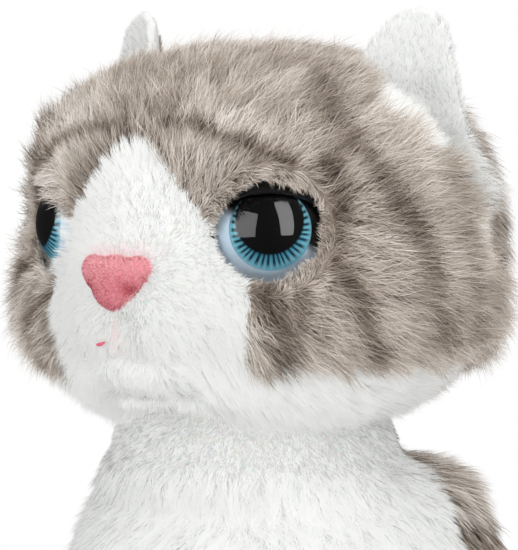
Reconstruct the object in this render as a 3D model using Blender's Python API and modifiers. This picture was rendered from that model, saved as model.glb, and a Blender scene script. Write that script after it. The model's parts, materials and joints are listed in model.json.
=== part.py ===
"""Interactive plush kitten: seated soft toy with a moving head, blinking eyes,
an opening mouth, a wagging tail, buttons, a switch and a battery box.

Frame: metres, +Z up, the kitten faces -Y and its own left side is +X.
Origin: on the flat underside of the base, straight below the neck axis.
All driving dimensions below are in millimetres.
"""
import math

import bmesh
import bpy
from mathutils import Matrix, Vector

for old in list(bpy.data.objects):
    bpy.data.objects.remove(old, do_unlink=True)

# ---------------------------------------------------------- shared dimensions
MM = 0.001
GAP = 0.3                     # gap between neighbouring solids

NECK_Z = 128.0                # centre of head turn and nod
TORSO_DOME_R = 46.0           # plush neck of the torso, round the neck centre
CHASSIS_DOME_R = 41.0         # plastic neck of the chassis
HEAD_RECESS_R = 48.0          # hollow under the head, round the neck centre

HEAD_Z = 207.0                # middle of the head
HEAD_HALF_WIDTH = 72.0
HEAD_FRONT_DEPTH = 62.0
HEAD_BACK_DEPTH = 68.0
HEAD_TOP = 54.0               # height above the middle
HEAD_BOTTOM = 58.0            # height below the middle
TOP_SQUARENESS = 2.4          # superellipse power of the upper half
BOTTOM_SQUARENESS = 3.4       # superellipse power of the lower half
COVER_T = 5.9                 # plush and padding over the skull
SKULL_INSET = 6.9             # skull surface below the plush surface
SKULL_T = 2.4                 # wall of the skull

EYE_YAW = math.radians(38.0)  # each eye looks this far outwards
EYE = Vector((35.6, -38.2, 210.0))      # centre of the left eyeball

JAW_Y, JAW_Z = -41.0, 171.0   # jaw hinge
JAW_HALF = 15.0               # half width of the chin piece

TAIL_Y, TAIL_Z = 81.0, 26.0   # tail pivot
TAIL = (0.0, TAIL_Y, TAIL_Z)

# ----------------------------------------------------- collections, materials
COL = bpy.data.collections.new("plush_kitten")
CUT = bpy.data.collections.new("cutters")
bpy.context.scene.collection.children.link(COL)
bpy.context.scene.collection.children.link(CUT)

# name: (base colour, roughness, metallic)
MATERIALS = {
    "white_plush": ((0.86, 0.87, 0.87), 0.95, 0.0),
    "tabby_plush": ((0.42, 0.36, 0.31), 0.95, 0.0),
    "pink_flock": ((0.86, 0.35, 0.42), 0.9, 0.0),
    "shell_plastic": ((0.78, 0.78, 0.76), 0.45, 0.0),
    "gear_plastic": ((0.9, 0.88, 0.8), 0.4, 0.0),
    "black_plastic": ((0.01, 0.01, 0.012), 0.12, 0.0),
    "eye_blue": ((0.12, 0.4, 0.5), 0.2, 0.0),
    "clear_lens": ((0.9, 0.95, 1.0), 0.03, 0.0),
    "steel": ((0.6, 0.6, 0.62), 0.3, 1.0),
    "motor_steel": ((0.55, 0.55, 0.57), 0.35, 1.0),
    "copper": ((0.72, 0.36, 0.2), 0.35, 1.0),
    "circuit": ((0.05, 0.25, 0.12), 0.5, 0.0),
    "base_cloth": ((0.5, 0.46, 0.42), 0.95, 0.0),
    "cell": ((0.15, 0.2, 0.3), 0.35, 0.0),
}


def make_material(name, colour, roughness, metallic):
    mat = bpy.data.materials.new(name)
    mat.use_nodes = True
    shader = mat.node_tree.nodes["Principled BSDF"]
    shader.inputs["Base Color"].default_value = (*colour, 1.0)
    shader.inputs["Roughness"].default_value = roughness
    shader.inputs["Metallic"].default_value = metallic
    return mat


MADE = {name: make_material(name, *values) for name, values in MATERIALS.items()}


# -------------------------------------------------------------- mesh handling
def new_object(name, mesh, mat=None):
    """Object for a mesh. A mesh without a material becomes a hidden cutter."""
    if mat:
        mesh.materials.clear()
        mesh.materials.append(MADE[mat])
    obj = bpy.data.objects.new(name, mesh)
    if mesh.materials:
        COL.objects.link(obj)
    else:
        CUT.objects.link(obj)
        obj.hide_render = True
        obj.display_type = 'WIRE'
    return obj


def discard(obj):
    bpy.data.objects.remove(obj, do_unlink=True)


def evaluated_mesh(obj):
    bpy.context.view_layer.update()
    graph = bpy.context.evaluated_depsgraph_get()
    return bpy.data.meshes.new_from_object(obj.evaluated_get(graph))


def apply_modifiers(obj):
    """Put the evaluated mesh in place, with the object's own materials."""
    mats = list(obj.data.materials)
    mesh = evaluated_mesh(obj)
    obj.modifiers.clear()
    obj.data = mesh
    if mats:
        mesh.materials.clear()
        for mat in mats:
            mesh.materials.append(mat)


def weld(mesh, distance):
    """Merge vertices closer than distance (metres) and point normals outwards."""
    bm = bmesh.new()
    bm.from_mesh(mesh)
    bmesh.ops.remove_doubles(bm, verts=bm.verts, dist=distance)
    bmesh.ops.recalc_face_normals(bm, faces=bm.faces)
    bm.to_mesh(mesh)
    bm.free()


def boolean(obj, other, operation, solver='EXACT'):
    modifier = obj.modifiers.new("b", 'BOOLEAN')
    modifier.operation = operation
    modifier.solver = solver
    modifier.object = other
    apply_modifiers(obj)


def cut(obj, *cutters):
    """Subtract cutters that stay in the scene."""
    for cutter in cutters:
        boolean(obj, cutter, 'DIFFERENCE')
    return obj


def drill(obj, *cutters):
    """Subtract cutters and discard them."""
    for cutter in cutters:
        boolean(obj, cutter, 'DIFFERENCE')
        discard(cutter)
    return obj


def join(obj, *parts):
    """Unite obj with parts and discard the parts."""
    for part in parts:
        boolean(obj, part, 'UNION')
        discard(part)
    return obj


def piece_of(source, name, region, mat=None):
    """Copy of source, kept only inside region."""
    obj = new_object(name, source.data.copy(), mat)
    boolean(obj, region, 'INTERSECT')
    return obj


def mirror_to_right(obj):
    """Right-hand copy of a left-hand object across the middle plane."""
    mesh = obj.data.copy()
    mesh.transform(Matrix.Diagonal((-1, 1, 1, 1)))
    mesh.flip_normals()
    return new_object(obj.name.replace("_left", "_right"), mesh)


# --------------------------------------------------------------- basic shapes
def from_bmesh(name, bm, mat):
    bmesh.ops.recalc_face_normals(bm, faces=bm.faces)
    mesh = bpy.data.meshes.new(name)
    bm.to_mesh(mesh)
    bm.free()
    return new_object(name, mesh, mat)


def box(name, low, high, mat=None):
    bm = bmesh.new()
    bmesh.ops.create_cube(bm, size=1.0)
    centre = [(a + b) / 2 * MM for a, b in zip(low, high)]
    size = [(b - a) * MM for a, b in zip(low, high)]
    bmesh.ops.scale(bm, vec=size, verts=bm.verts)
    bmesh.ops.translate(bm, vec=centre, verts=bm.verts)
    return from_bmesh(name, bm, mat)


def mid_box(name, half_width, y_range, z_range, mat=None):
    """Box that straddles the middle plane."""
    return box(name, (-half_width, y_range[0], z_range[0]),
               (half_width, y_range[1], z_range[1]), mat)


def cylinder(name, start, end, radius, mat=None, segments=24):
    start, end = Vector(start) * MM, Vector(end) * MM
    axis = end - start
    bm = bmesh.new()
    bmesh.ops.create_cone(bm, cap_ends=True, segments=segments, radius1=radius * MM,
                          radius2=radius * MM, depth=axis.length)
    turn = Vector((0, 0, 1)).rotation_difference(axis.normalized()).to_matrix()
    bmesh.ops.rotate(bm, cent=(0, 0, 0), matrix=turn, verts=bm.verts)
    bmesh.ops.translate(bm, vec=(start + end) / 2, verts=bm.verts)
    return from_bmesh(name, bm, mat)


def post(name, y, z_range, radius, mat=None, segments=24):
    """Upright cylinder in the middle plane."""
    return cylinder(name, (0, y, z_range[0]), (0, y, z_range[1]), radius, mat, segments)


def cross_rod(name, half_length, y, z, radius, mat=None, segments=24):
    """Cylinder along X, centred on the middle plane."""
    return cylinder(name, (-half_length, y, z), (half_length, y, z), radius, mat, segments)


def ball(name, centre, radius, mat=None, segments=24, rings=14, scale=(1, 1, 1)):
    bm = bmesh.new()
    bmesh.ops.create_uvsphere(bm, u_segments=segments, v_segments=rings, radius=radius * MM)
    bmesh.ops.scale(bm, vec=scale, verts=bm.verts)
    bmesh.ops.translate(bm, vec=Vector(centre) * MM, verts=bm.verts)
    return from_bmesh(name, bm, mat)


def revolve(name, profile, mat=None, steps=32, closed=True):
    """Turned shape about the Z axis from a profile (r, z) in mm that runs down
    its outer side; closed joins its last point to its first."""
    mesh = bpy.data.meshes.new(name)
    count = len(profile)
    edges = [(i, i + 1) for i in range(count - 1)]
    if closed:
        edges.append((count - 1, 0))
    mesh.from_pydata([(r * MM, 0, z * MM) for r, z in profile], edges, [])
    obj = new_object(name, mesh, mat)
    screw = obj.modifiers.new("screw", 'SCREW')
    screw.axis = 'Z'
    screw.angle = 2 * math.pi
    screw.steps = steps
    screw.render_steps = steps
    screw.use_merge_vertices = True
    screw.merge_threshold = 0.00002
    screw.use_normal_calculate = True
    apply_modifiers(obj)
    weld(obj.data, 2e-6)
    return obj


def from_curve(name, curve, mat):
    source = bpy.data.objects.new(name, curve)
    COL.objects.link(source)
    mesh = evaluated_mesh(source)
    discard(source)
    weld(mesh, 1e-6)
    return new_object(name, mesh, mat)


def plate(name, outline, z_range, mat=None, turn=None):
    """Flat plate from an outline (x, y) in mm, then moved by the matrix turn."""
    low, high = z_range
    curve = bpy.data.curves.new(name, 'CURVE')
    curve.dimensions = '2D'
    curve.fill_mode = 'BOTH'
    curve.extrude = (high - low) / 2 * MM
    spline = curve.splines.new('POLY')
    spline.points.add(len(outline) - 1)
    for point, (x, y) in zip(spline.points, outline):
        point.co = (x * MM, y * MM, 0, 1)
    spline.use_cyclic_u = True
    obj = from_curve(name, curve, mat)
    obj.data.transform(Matrix.Translation((0, 0, (low + high) / 2 * MM)))
    if turn:
        obj.data.transform(turn)
    return obj


def tube(name, stations, mat):
    """Smooth tube through stations (x, y, z, radius) in mm."""
    curve = bpy.data.curves.new(name, 'CURVE')
    curve.dimensions = '3D'
    curve.bevel_depth = 1.0 * MM
    curve.bevel_resolution = 2
    curve.use_fill_caps = True
    curve.resolution_u = 2
    curve.render_resolution_u = 0
    spline = curve.splines.new('BEZIER')
    spline.bezier_points.add(len(stations) - 1)
    for point, (x, y, z, radius) in zip(spline.bezier_points, stations):
        point.co = (x * MM, y * MM, z * MM)
        point.radius = radius
        point.handle_left_type = point.handle_right_type = 'AUTO'
    return from_curve(name, curve, mat)


# ----------------------------------------------------------- geometry helpers
# Plate axes (x, y, z) laid to (y, z, x): outline in the YZ plane
OUTLINE_YZ = Matrix(((0, 0, 1, 0), (1, 0, 0, 0), (0, 1, 0, 0), (0, 0, 0, 1)))
# Plate (x, y, z) laid to (x, -z, y): outline in the XZ plane, height forwards
OUTLINE_XZ = Matrix(((1, 0, 0, 0), (0, 0, -1, 0), (0, 1, 0, 0), (0, 0, 0, 1)))


def frame(origin, x_axis, y_axis, z_axis):
    """Matrix that lays the local axes along the given ones at origin (mm)."""
    return (Matrix.Translation(origin * MM) @
            Matrix((x_axis, y_axis, z_axis)).transposed().to_4x4())


def z_towards(origin, direction):
    """Matrix that turns +Z to direction and moves to origin (mm)."""
    turn = Vector((0, 0, 1)).rotation_difference(direction).to_matrix().to_4x4()
    return Matrix.Translation(Vector(origin) * MM) @ turn


def arc(radius, start, end, steps, centre_z=0.0):
    """Points (r, z) on an arc round (0, centre_z); angles in radians."""
    angles = [start + (end - start) * i / steps for i in range(steps + 1)]
    return [(radius * math.cos(a), centre_z + radius * math.sin(a)) for a in angles]


def smoothstep(start, end, x):
    t = min(1.0, max(0.0, (x - start) / (end - start)))
    return t * t * (3 - 2 * t)


def bisect(low, high, holds):
    """Last value, going from low to high, where the test still holds."""
    for _ in range(60):
        middle = (low + high) / 2
        if holds(middle):
            low = middle
        else:
            high = middle
    return low


# ----------------------------------------------------------------- head shape
MUZZLE_OUT = 6.0              # how far the muzzle stands out
MUZZLE_Z = 182
MUZZLE_HALF_WIDTH = 25.0
MUZZLE_UP, MUZZLE_DOWN = 26.0, 20.0
RECESS_STEPS = 3              # profile steps up the neck recess
HEAD_STEPS = 24               # turned steps of the skull and the cover


def head_profile(inset, steps, top_hole=0.0, recess=None, neck_hole=0.0):
    """Profile (r, z) of the head, inset below the plush surface, top to bottom.
    With a recess radius it turns into the neck recess and runs up it."""
    width = HEAD_HALF_WIDTH - inset

    def point(angle):
        c, s = max(0.0, math.cos(angle)), math.sin(angle)
        if s >= 0:
            power, height = TOP_SQUARENESS, HEAD_TOP - inset
        else:
            power, height = BOTTOM_SQUARENESS, HEAD_BOTTOM - inset
        return (width * c ** (2 / power),
                HEAD_Z + math.copysign(height * abs(s) ** (2 / power), s))

    def in_recess(angle):
        r, z = point(angle)
        return r * r + (z - NECK_Z) ** 2 < recess ** 2

    start, end = math.pi / 2, -math.pi / 2
    if top_hole:
        start = bisect(0.3, start, lambda angle: point(angle)[0] > top_hole)
    if recess:
        end = bisect(end, -0.3, in_recess)
    points = [point(start + (end - start) * i / steps) for i in range(steps + 1)]
    if not top_hole:
        points[0] = (0.0, points[0][1])
    if recess:
        r, z = points[-1]
        points += arc(recess, math.atan2(z - NECK_Z, r), math.acos(neck_hole / recess),
                      RECESS_STEPS, NECK_Z)[1:]
    else:
        points[-1] = (0.0, points[-1][1])
    return points


def muzzle_bump(x, z):
    height = MUZZLE_UP if z > MUZZLE_Z else MUZZLE_DOWN
    return MUZZLE_OUT * math.exp(-(abs(x) / MUZZLE_HALF_WIDTH) ** 2.4
                                 - (abs(z - MUZZLE_Z) / height) ** 2.4)


def shape_head(obj, recesses=()):
    """Turn the round head into its real form: shallower front and back, and a
    muzzle. Points on the neck recess stay on their sphere."""
    for v in obj.data.vertices:
        x, y, z = (c / MM for c in v.co)
        from_neck = math.sqrt(x * x + y * y + (z - NECK_Z) ** 2)
        if any(abs(from_neck - radius) < 0.02 for radius in recesses) and z < 190:
            continue
        weight = smoothstep(150.0, 159.0, z)
        depth = HEAD_FRONT_DEPTH if y < 0 else HEAD_BACK_DEPTH
        y *= 1 + weight * (depth / HEAD_HALF_WIDTH - 1)
        if y < -1:
            facing = smoothstep(0.25, 0.8, -y / math.hypot(x, y))
            y -= weight * muzzle_bump(x, z) * facing
        v.co = (x * MM, y * MM, z * MM)
    obj.data.update()
    return obj


def head_layer(name, insets, recesses, neck_hole, top_hole, mat):
    """Head shell; insets and recess radii are given as (outer, inner)."""
    outer, inner = (head_profile(inset, 11, top_hole, recess, neck_hole)
                    for inset, recess in zip(insets, recesses))
    shell = revolve(name, outer + inner[::-1], mat, steps=HEAD_STEPS, closed=top_hole > 0)
    return shape_head(shell, recesses)


# whole head, a little oversize: trims the nose and ears to its surface
head_solid = shape_head(revolve("head_solid", head_profile(-0.35, 18), steps=28, closed=False))

# ---------------------------------------------------------------- eye openings
SOCKET_R = 20.1
CRANK_ROOM_R = 5.4            # room at the inner end of each lid axle
CRANK_ROOM = (-12, -22.4)     # its ends along the lid axle

EYE_OUT = Vector((math.sin(EYE_YAW), -math.cos(EYE_YAW), 0))    # looks out of the eye
EYE_AXLE = Vector((math.cos(EYE_YAW), math.sin(EYE_YAW), 0))    # lid axle, to its outer end
UP = Vector((0, 0, 1))


def eye_point(out=0.0, along=0.0):
    """Point out of the left eye and along its lid axle from the eye centre."""
    return EYE + EYE_OUT * out + EYE_AXLE * along


def opposite(point):
    return Vector((-point.x, point.y, point.z))


socket_left = ball("socket_left", EYE, SOCKET_R, segments=16, rings=10)
room_ends = [eye_point(along=along) for along in CRANK_ROOM]
eye_openings = (
    socket_left,
    mirror_to_right(socket_left),
    cylinder("room_left", *room_ends, CRANK_ROOM_R, segments=14),
    cylinder("room_right", *map(opposite, room_ends), CRANK_ROOM_R, segments=14),
)


# ------------------------------------------------------------ jaw wedge cutters
JAW_REACH = 48.0              # from the hinge to past the chin


def jaw_sector(name, end_angle, half_width, y_shift, z_shift):
    """Wedge round the jaw hinge, from level down to end_angle degrees."""
    hinge_y, hinge_z = JAW_Y + y_shift, JAW_Z + z_shift
    outline = [(hinge_y, hinge_z)]
    outline += [(hinge_y - y, hinge_z - z)
                for y, z in arc(JAW_REACH, 0.0, math.radians(end_angle), 3)]
    return plate(name, outline, (-half_width, half_width), turn=OUTLINE_YZ)


jaw_hole = jaw_sector("jaw_hole", 72, JAW_HALF + 0.8, 0.0, 0.4)
jaw_fill = jaw_sector("jaw_fill", 55, JAW_HALF, -1.0, -0.2)

# ----------------------------------------------------------------------- skull
# two plastic halves, split just in front of and behind y = 0
skull = head_layer("skull", (SKULL_INSET, SKULL_INSET + SKULL_T),
                   (HEAD_RECESS_R + 2.2, HEAD_RECESS_R + 4.6), 12.0, 11.0, "shell_plastic")
mouth_hole = mid_box("mouth_hole", JAW_HALF + 1.5, (-80, -36), (158.5, 173.5))
cut(skull, *eye_openings, mouth_hole)
REACH = 120                   # past every side of the body
half_front = mid_box("half_front", REACH, (-REACH, -GAP / 2), (100, 320))
half_rear = mid_box("half_rear", REACH, (GAP / 2, REACH), (100, 320))
piece_of(skull, "skull_front", half_front)
piece_of(skull, "skull_rear", half_rear)
discard(skull)

# --------------------------------------------------------- plush of the head
BAND_Z = 166.0                # seam between the mask and the white cheek band
BACK_SEAM_Y = 8               # seam between the mask and the back of the head
RECESS_CORE_R = 37.0          # round the neck, stays with the cheek band
# right-hand edge of the white blaze as (x, z), from the forehead down
BLAZE = [(0, 240), (3, 238.5), (10, 234), (18, 224), (24, 213), (29, 203), (32, 194),
         (38, 184), (42, 177), (45, 170), (46, 150)]
BLAZE = [(x, z) for x, z in BLAZE]


def blaze_prism(name, grow):
    side = [(x + grow, z) for x, z in BLAZE[1:]]
    outline = [(0, BLAZE[0][1] + grow)] + side + [(-x, z) for x, z in reversed(side)]
    return plate(name, outline, (15, 95), turn=OUTLINE_XZ)


def above_band(name, y_range, gap, core):
    """Everything above the band seam, apart from the core round the neck."""
    return cut(mid_box(name, REACH, y_range, (BAND_Z + gap, 320)), core)


blaze_in = blaze_prism("blaze_in", 0.0)
blaze_out = blaze_prism("blaze_out", GAP)
recess_core = post("recess_core", 0, (120, 186), RECESS_CORE_R, segments=28)
recess_wide = post("recess_wide", 0, (120, 186.5), RECESS_CORE_R + 0.4, segments=28)
up_all = above_band("up_all", (-REACH, REACH), 0.0, recess_core)
up_front = above_band("up_front", (-REACH, BACK_SEAM_Y), GAP, recess_wide)
up_rear = above_band("up_rear", (BACK_SEAM_Y + GAP, REACH), GAP, recess_wide)

cover = head_layer("cover", (0.0, COVER_T), (HEAD_RECESS_R, HEAD_RECESS_R + 1.8),
                   13.0, 0.0, "tabby_plush")
cut(cover, *eye_openings)
chin_cover = piece_of(cover, "chin_cover", jaw_fill, "white_plush")
cut(cover, jaw_hole)
cheek_band = cut(new_object("cheek_band", cover.data.copy(), "white_plush"), up_all)
mask_cover = piece_of(cover, "mask_cover", up_front)
piece_of(mask_cover, "muzzle_cover", blaze_in, "white_plush")
cut(mask_cover, blaze_out)
piece_of(cover, "head_back_cover", up_rear)
discard(cover)

# ------------------------------------------------------------------------ nose
# flocked rounded triangle: left half (x, z), from the bottom point up
NOSE = [(0, 183.6), (4.6, 185.4), (8.6, 190.0), (12.0, 195.6), (12.4, 199.0),
        (10.0, 201.2), (0, 201.4)]
NOSE_FORWARD = (52, 70.5)     # from inside the muzzle to its tip
nose_outline = NOSE + [(-x, z) for x, z in reversed(NOSE[1:-1])]
nose = plate("nose", nose_outline, NOSE_FORWARD, "pink_flock", OUTLINE_XZ)
cut(nose, head_solid)

# ------------------------------------------------------------------------ ears
EAR_YAW = math.radians(30)
EAR_FRONT = Vector((math.sin(EAR_YAW), -math.cos(EAR_YAW), 0))  # way the ear faces
EAR_ACROSS = Vector((math.cos(EAR_YAW), math.sin(EAR_YAW), 0))  # to its outer edge
EAR_ORIGIN = Vector((52, 10, 240))
EAR_MIDDLE = 4.0              # both coordinates of the point it shrinks to
EAR_CUP = 0.017               # forward curl of the edges, per mm across squared
EAR_LEAN = 0.10               # lean back per mm of height
EAR_T, LINING_T = 3.0, 2.0
LINING_FRONT = 3.45           # back of the lining in front of the ear's back
EAR_FOLDS = (-8, 0, 8, 14, -12.5)       # lines across the ear where it can bend
# ear outline (across, up)
EAR = [(-16, -12), (-16, 0), (-15, 12), (-9.5, 26), (-3.5, 34.5), (4, 38.5), (10, 36.5),
       (14.2, 30), (17.5, 16), (21, 0), (23.5, -18), (16, -26), (2, -24)]


def ear_layer(name, shrink, front, thickness, mat):
    points = [(EAR_MIDDLE + (x - EAR_MIDDLE) * shrink, EAR_MIDDLE + (y - EAR_MIDDLE) * shrink)
              for x, y in EAR]
    outline = []
    for here, after in zip(points, points[1:] + points[:1]):
        outline += [here, ((here[0] + after[0]) / 2, (here[1] + after[1]) / 2)]
    obj = plate(name, outline, (0, thickness), mat)
    bm = bmesh.new()
    bm.from_mesh(obj.data)
    for across in EAR_FOLDS:
        bmesh.ops.bisect_plane(bm, geom=bm.verts[:] + bm.edges[:] + bm.faces[:],
                               plane_co=Vector((across, 0, 0)) * MM, plane_no=(1, 0, 0))
    for v in bm.verts:
        across, height, depth = v.co.x / MM, v.co.y / MM, v.co.z / MM
        cup = EAR_CUP * (across - 3) ** 2
        place = EAR_ORIGIN + EAR_ACROSS * across + UP * height
        place += EAR_FRONT * (cup + depth + front)
        place += Vector((0, EAR_LEAN, 0)) * max(0.0, height)
        v.co = place * MM
    bmesh.ops.triangulate(bm, faces=bm.faces)
    bm.to_mesh(obj.data)
    bm.free()
    return cut(obj, head_solid)


mirror_to_right(ear_layer("ear_left", 1.0, 0.0, EAR_T, "tabby_plush"))
mirror_to_right(ear_layer("ear_lining_left", 0.93, LINING_FRONT, LINING_T, "white_plush"))

# ------------------------------------------------------------------------ eyes
EYEBALL_R = 15.4
EYE_STEM_R, EYE_PIN_R = 3.0, 1.6
LENS_IN_R, LENS_R = 16.2, 17.0
LENS_RIM = math.radians(14)   # rim of the lens, up from its own base plane
LID_IN_R, LID_R = 17.9, 19.0
LID_END = math.radians(80)    # ends of the lid's turned shell, towards the axle
LID_OPEN = math.radians(39.0)     # lower edge of the lid above the eye axis
LID_BACK = math.radians(125.0)    # rear edge of the lid
LID_EAR_R = 4.9               # rounds of the lid that hold the axle
CRANK_ALONG = -20.1           # crank's place along the axle
CRANK_DROP = math.radians(29)     # crank points back and this far down
CRANK_BOSS_R = 4.3


def make_eyeball():
    """Ball with its back cut flat, a stem behind and a pin at each end of the axle."""
    eye = ball("eyeball_left", EYE, EYEBALL_R, "eye_blue", segments=16, rings=10)
    behind = mid_box("behind", 30, (-30, -5), (-30, 30))
    behind.data.transform(frame(EYE, EYE_AXLE, EYE_OUT, UP))
    cut(eye, behind)
    stem = cylinder("stem", eye_point(-3), eye_point(-35), EYE_STEM_R, segments=16)
    pins = cylinder("pins", eye_point(along=-19.6), eye_point(along=18.9), EYE_PIN_R,
                    segments=12)
    return join(eye, stem, pins)


def make_lens():
    """Clear dome in front of the eyeball, notched round the axle pins."""
    outer, inner = (arc(radius, math.pi / 2, LENS_RIM, 5) for radius in (LENS_R, LENS_IN_R))
    outer[0] = (0.0, LENS_R)
    inner[0] = (0.0, LENS_IN_R)
    lens = revolve("eye_lens_left", outer + inner[::-1], "clear_lens", steps=16, closed=False)
    lens.data.transform(z_towards(EYE, EYE_OUT))
    return cut(lens, cylinder("pin_clear", eye_point(along=-25), eye_point(along=25), 2.1,
                              segments=14))


def make_lid_crank():
    """Arm on the inner end of the axle, moved by the blink slider."""
    arm = box("arm", (-1.5, -1.0, -1.3), (11.5, 1.0, 1.3))
    along = -EYE_OUT * math.cos(CRANK_DROP) - UP * math.sin(CRANK_DROP)
    inwards = -EYE_AXLE
    arm.data.transform(frame(eye_point(along=CRANK_ALONG), along, inwards,
                             along.cross(inwards).normalized()))
    join(arm, cylinder("boss", eye_point(along=-18.3), eye_point(along=-21.2), CRANK_BOSS_R,
                       segments=16))
    return cut(arm, cylinder("pin_hole", eye_point(along=-30), eye_point(along=30), 2.0,
                             segments=11))


def make_eyelid():
    """Part of a hollow ball round the eye, with a round at each end of its axle."""
    profile = arc(LID_R, LID_END, -LID_END, 8) + arc(LID_IN_R, -LID_END, LID_END, 8)
    lid = revolve("eyelid_left", profile, "black_plastic", steps=24)
    lid.data.transform(z_towards(EYE, EYE_AXLE))
    wedge = plate("wedge", [(0, 0)] + arc(30, LID_OPEN, LID_BACK, 5), (-22, 22),
                  turn=frame(EYE, EYE_OUT, UP, EYE_AXLE))
    join(wedge, cylinder("rounds", eye_point(along=-22), eye_point(along=22), LID_EAR_R,
                         segments=14))
    boolean(lid, wedge, 'INTERSECT')
    crank = make_lid_crank()
    boolean(lid, crank, 'UNION', 'MANIFOLD')
    discard(crank)
    return lid


for eye_piece in (make_eyeball(), make_lens(), make_eyelid()):
    mirror_to_right(eye_piece)

# plate that carries both eyeball stems
eye_bridge = mid_box("eye_bridge", 33, (-8, -5), (197, 223), "shell_plastic")
drill(eye_bridge, mid_box("bridge_slot", 6, (-12, 0), (205, 215)))

# --------------------------------------------------------------- blink drive
BLINK_Y = -30
# coil and the slider in it, whose top plate moves both lid cranks
blink_coil = post("blink_coil", BLINK_Y, (176, 188), 7.0, "copper")
drill(blink_coil, post("coil_bore", BLINK_Y, (170, 195), 3.5, segments=20))
blink_slider = post("blink_slider", BLINK_Y, (173.2, 199.4), 3.0, "gear_plastic", 20)
join(blink_slider, mid_box("slider_plate", 17, (-46, -26), (198.8, 200.8)))

# ------------------------------------------------------------------------- jaw
JAW_COIL_X, JAW_COIL_Y = 13, -28.5
TONGUE_Y = -54

# lever: hinge tube, shelf and web under the chin plush, arm back to the coil
jaw_lever = cylinder("jaw_lever", (-14, JAW_Y, JAW_Z), (13, JAW_Y, JAW_Z), 2.4,
                     "gear_plastic", 18)
shelf = mid_box("shelf", 9, (-57, JAW_Y), (165.0, 167.6))
join(shelf, mid_box("web", 9, (-44.5, JAW_Y + 0.8), (165.6, 170.5)))
join(jaw_lever, shelf,
     box("lever_arm", (10, JAW_Y - 1, 171.0), (13, -28.5, 173.2)),
     box("lever_pad", (9.5, -33, 173.0), (16.5, -27.5, 175.2)))
drill(jaw_lever, cross_rod("hinge_bore", 20, JAW_Y, JAW_Z, 1.3, segments=14))
jaw_pin = cross_rod("jaw_pin", 16.2, JAW_Y, JAW_Z, 1.0, "steel", 10)
jaw_coil = cylinder("jaw_coil", (JAW_COIL_X, JAW_COIL_Y, 179.5),
                    (JAW_COIL_X, JAW_COIL_Y, 190.5), 5.5, "copper", 20)

# tongue, and the beds for it and the shelf in the chin plush
tongue = ball("tongue", (0, TONGUE_Y, 169.2), 6.5, "pink_flock", 12, 8, (1.0, 1.15, 0.19))
tongue_bed = ball("tongue_bed", (0, TONGUE_Y, 169.4), 6.95, None, 12, 8, (1.0, 1.15, 0.27))
pad_bed = mid_box("pad_bed", 9.4, (-57.4, -36), (164.6, 168.0))
cut(chin_cover, pad_bed, tongue_bed)

# ----------------------------------------------------------------------- crown
# button under the plush and its switch
crown_button = post("crown_button", 0, (251.2, 253.6), 9.2, "gear_plastic")
join(crown_button, post("crown_stem", 0, (247.8, 252.5), 3.0, segments=16))
crown_switch = mid_box("crown_switch", 12, (-12, 12), (241, 242.8), "circuit")
join(crown_switch, mid_box("crown_switch_body", 3.5, (-3.5, 3.5), (242, 246.2)))

# ---------------------------------------------------------------- skull screws
SCREW_X, SCREW_Y, SCREW_Z = 44, 16, 232     # underside of the left screw's head


def skull_screw(name, x):
    """Screw through the skull halves, driven from the back."""
    shank = cylinder(name, (x, SCREW_Y, SCREW_Z), (x, SCREW_Y - 12, SCREW_Z), 1.4, "steel", 12)
    head = cylinder("screw_head", (x, SCREW_Y + 2.0, SCREW_Z), (x, SCREW_Y - 0.3, SCREW_Z),
                    3.0, segments=14)
    return join(shank, head)


skull_screw("skull_screw_left", SCREW_X)
skull_screw("skull_screw_right", -SCREW_X)

# ----------------------------------------------------------------------- gears
ADDENDUM, DEDENDUM = 0.8, 1.15    # tooth above and below the pitch circle, per module
TOOTH_SHARE = 0.41                # tooth width at the pitch circle, per circular pitch
TIP_TAPER, ROOT_TAPER = math.tan(math.radians(20)), math.tan(math.radians(17))
CENTRE_SLACK = 0.1                # added to each gear centre distance


def gear_outline(teeth, module, phase, centre_y=0.0):
    """Straight-sided teeth with running backlash; phase is a tooth's angle."""
    pitch_r = teeth * module / 2
    tip_r, root_r = pitch_r + ADDENDUM * module, pitch_r - DEDENDUM * module
    half = TOOTH_SHARE * math.pi * module / 2 / pitch_r
    tip = half - ADDENDUM * module * TIP_TAPER / pitch_r
    root = half + DEDENDUM * module * ROOT_TAPER / pitch_r
    points = []
    for tooth in range(teeth):
        middle = phase + tooth * 2 * math.pi / teeth
        for r, offset in ((root_r, -root), (tip_r, -tip), (tip_r, tip), (root_r, root)):
            angle = middle + offset
            points.append((r * math.cos(angle), centre_y + r * math.sin(angle)))
    return points


# ------------------------------------------------------------------------ neck
NECK_TEETH, TURN_TEETH = 24, 8
NECK_MODULE = 1.5
TURN_Y = (NECK_TEETH + TURN_TEETH) / 2 * NECK_MODULE + CENTRE_SLACK   # turn motor's axis
NOD_AXLE_R = 2.0
NOD_BORE_R = NOD_AXLE_R + 0.3


def nod_bore():
    return cross_rod("nod_bore", 20, 0, NECK_Z, NOD_BORE_R, segments=16)


neck_gear = plate("neck_gear", gear_outline(NECK_TEETH, NECK_MODULE, math.pi / 2),
                  (110.2, 116.0), "gear_plastic")
drill(neck_gear, post("gear_bore", 0, (100, 130), 10.4, segments=18))
turn_outline = gear_outline(TURN_TEETH, NECK_MODULE, -math.pi / 2 + math.pi / TURN_TEETH, TURN_Y)
turn_pinion = plate("turn_pinion", turn_outline, (110.6, 115.6), "gear_plastic")
join(turn_pinion, post("turn_shaft", TURN_Y, (101, 111.5), 1.5, segments=14))

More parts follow.
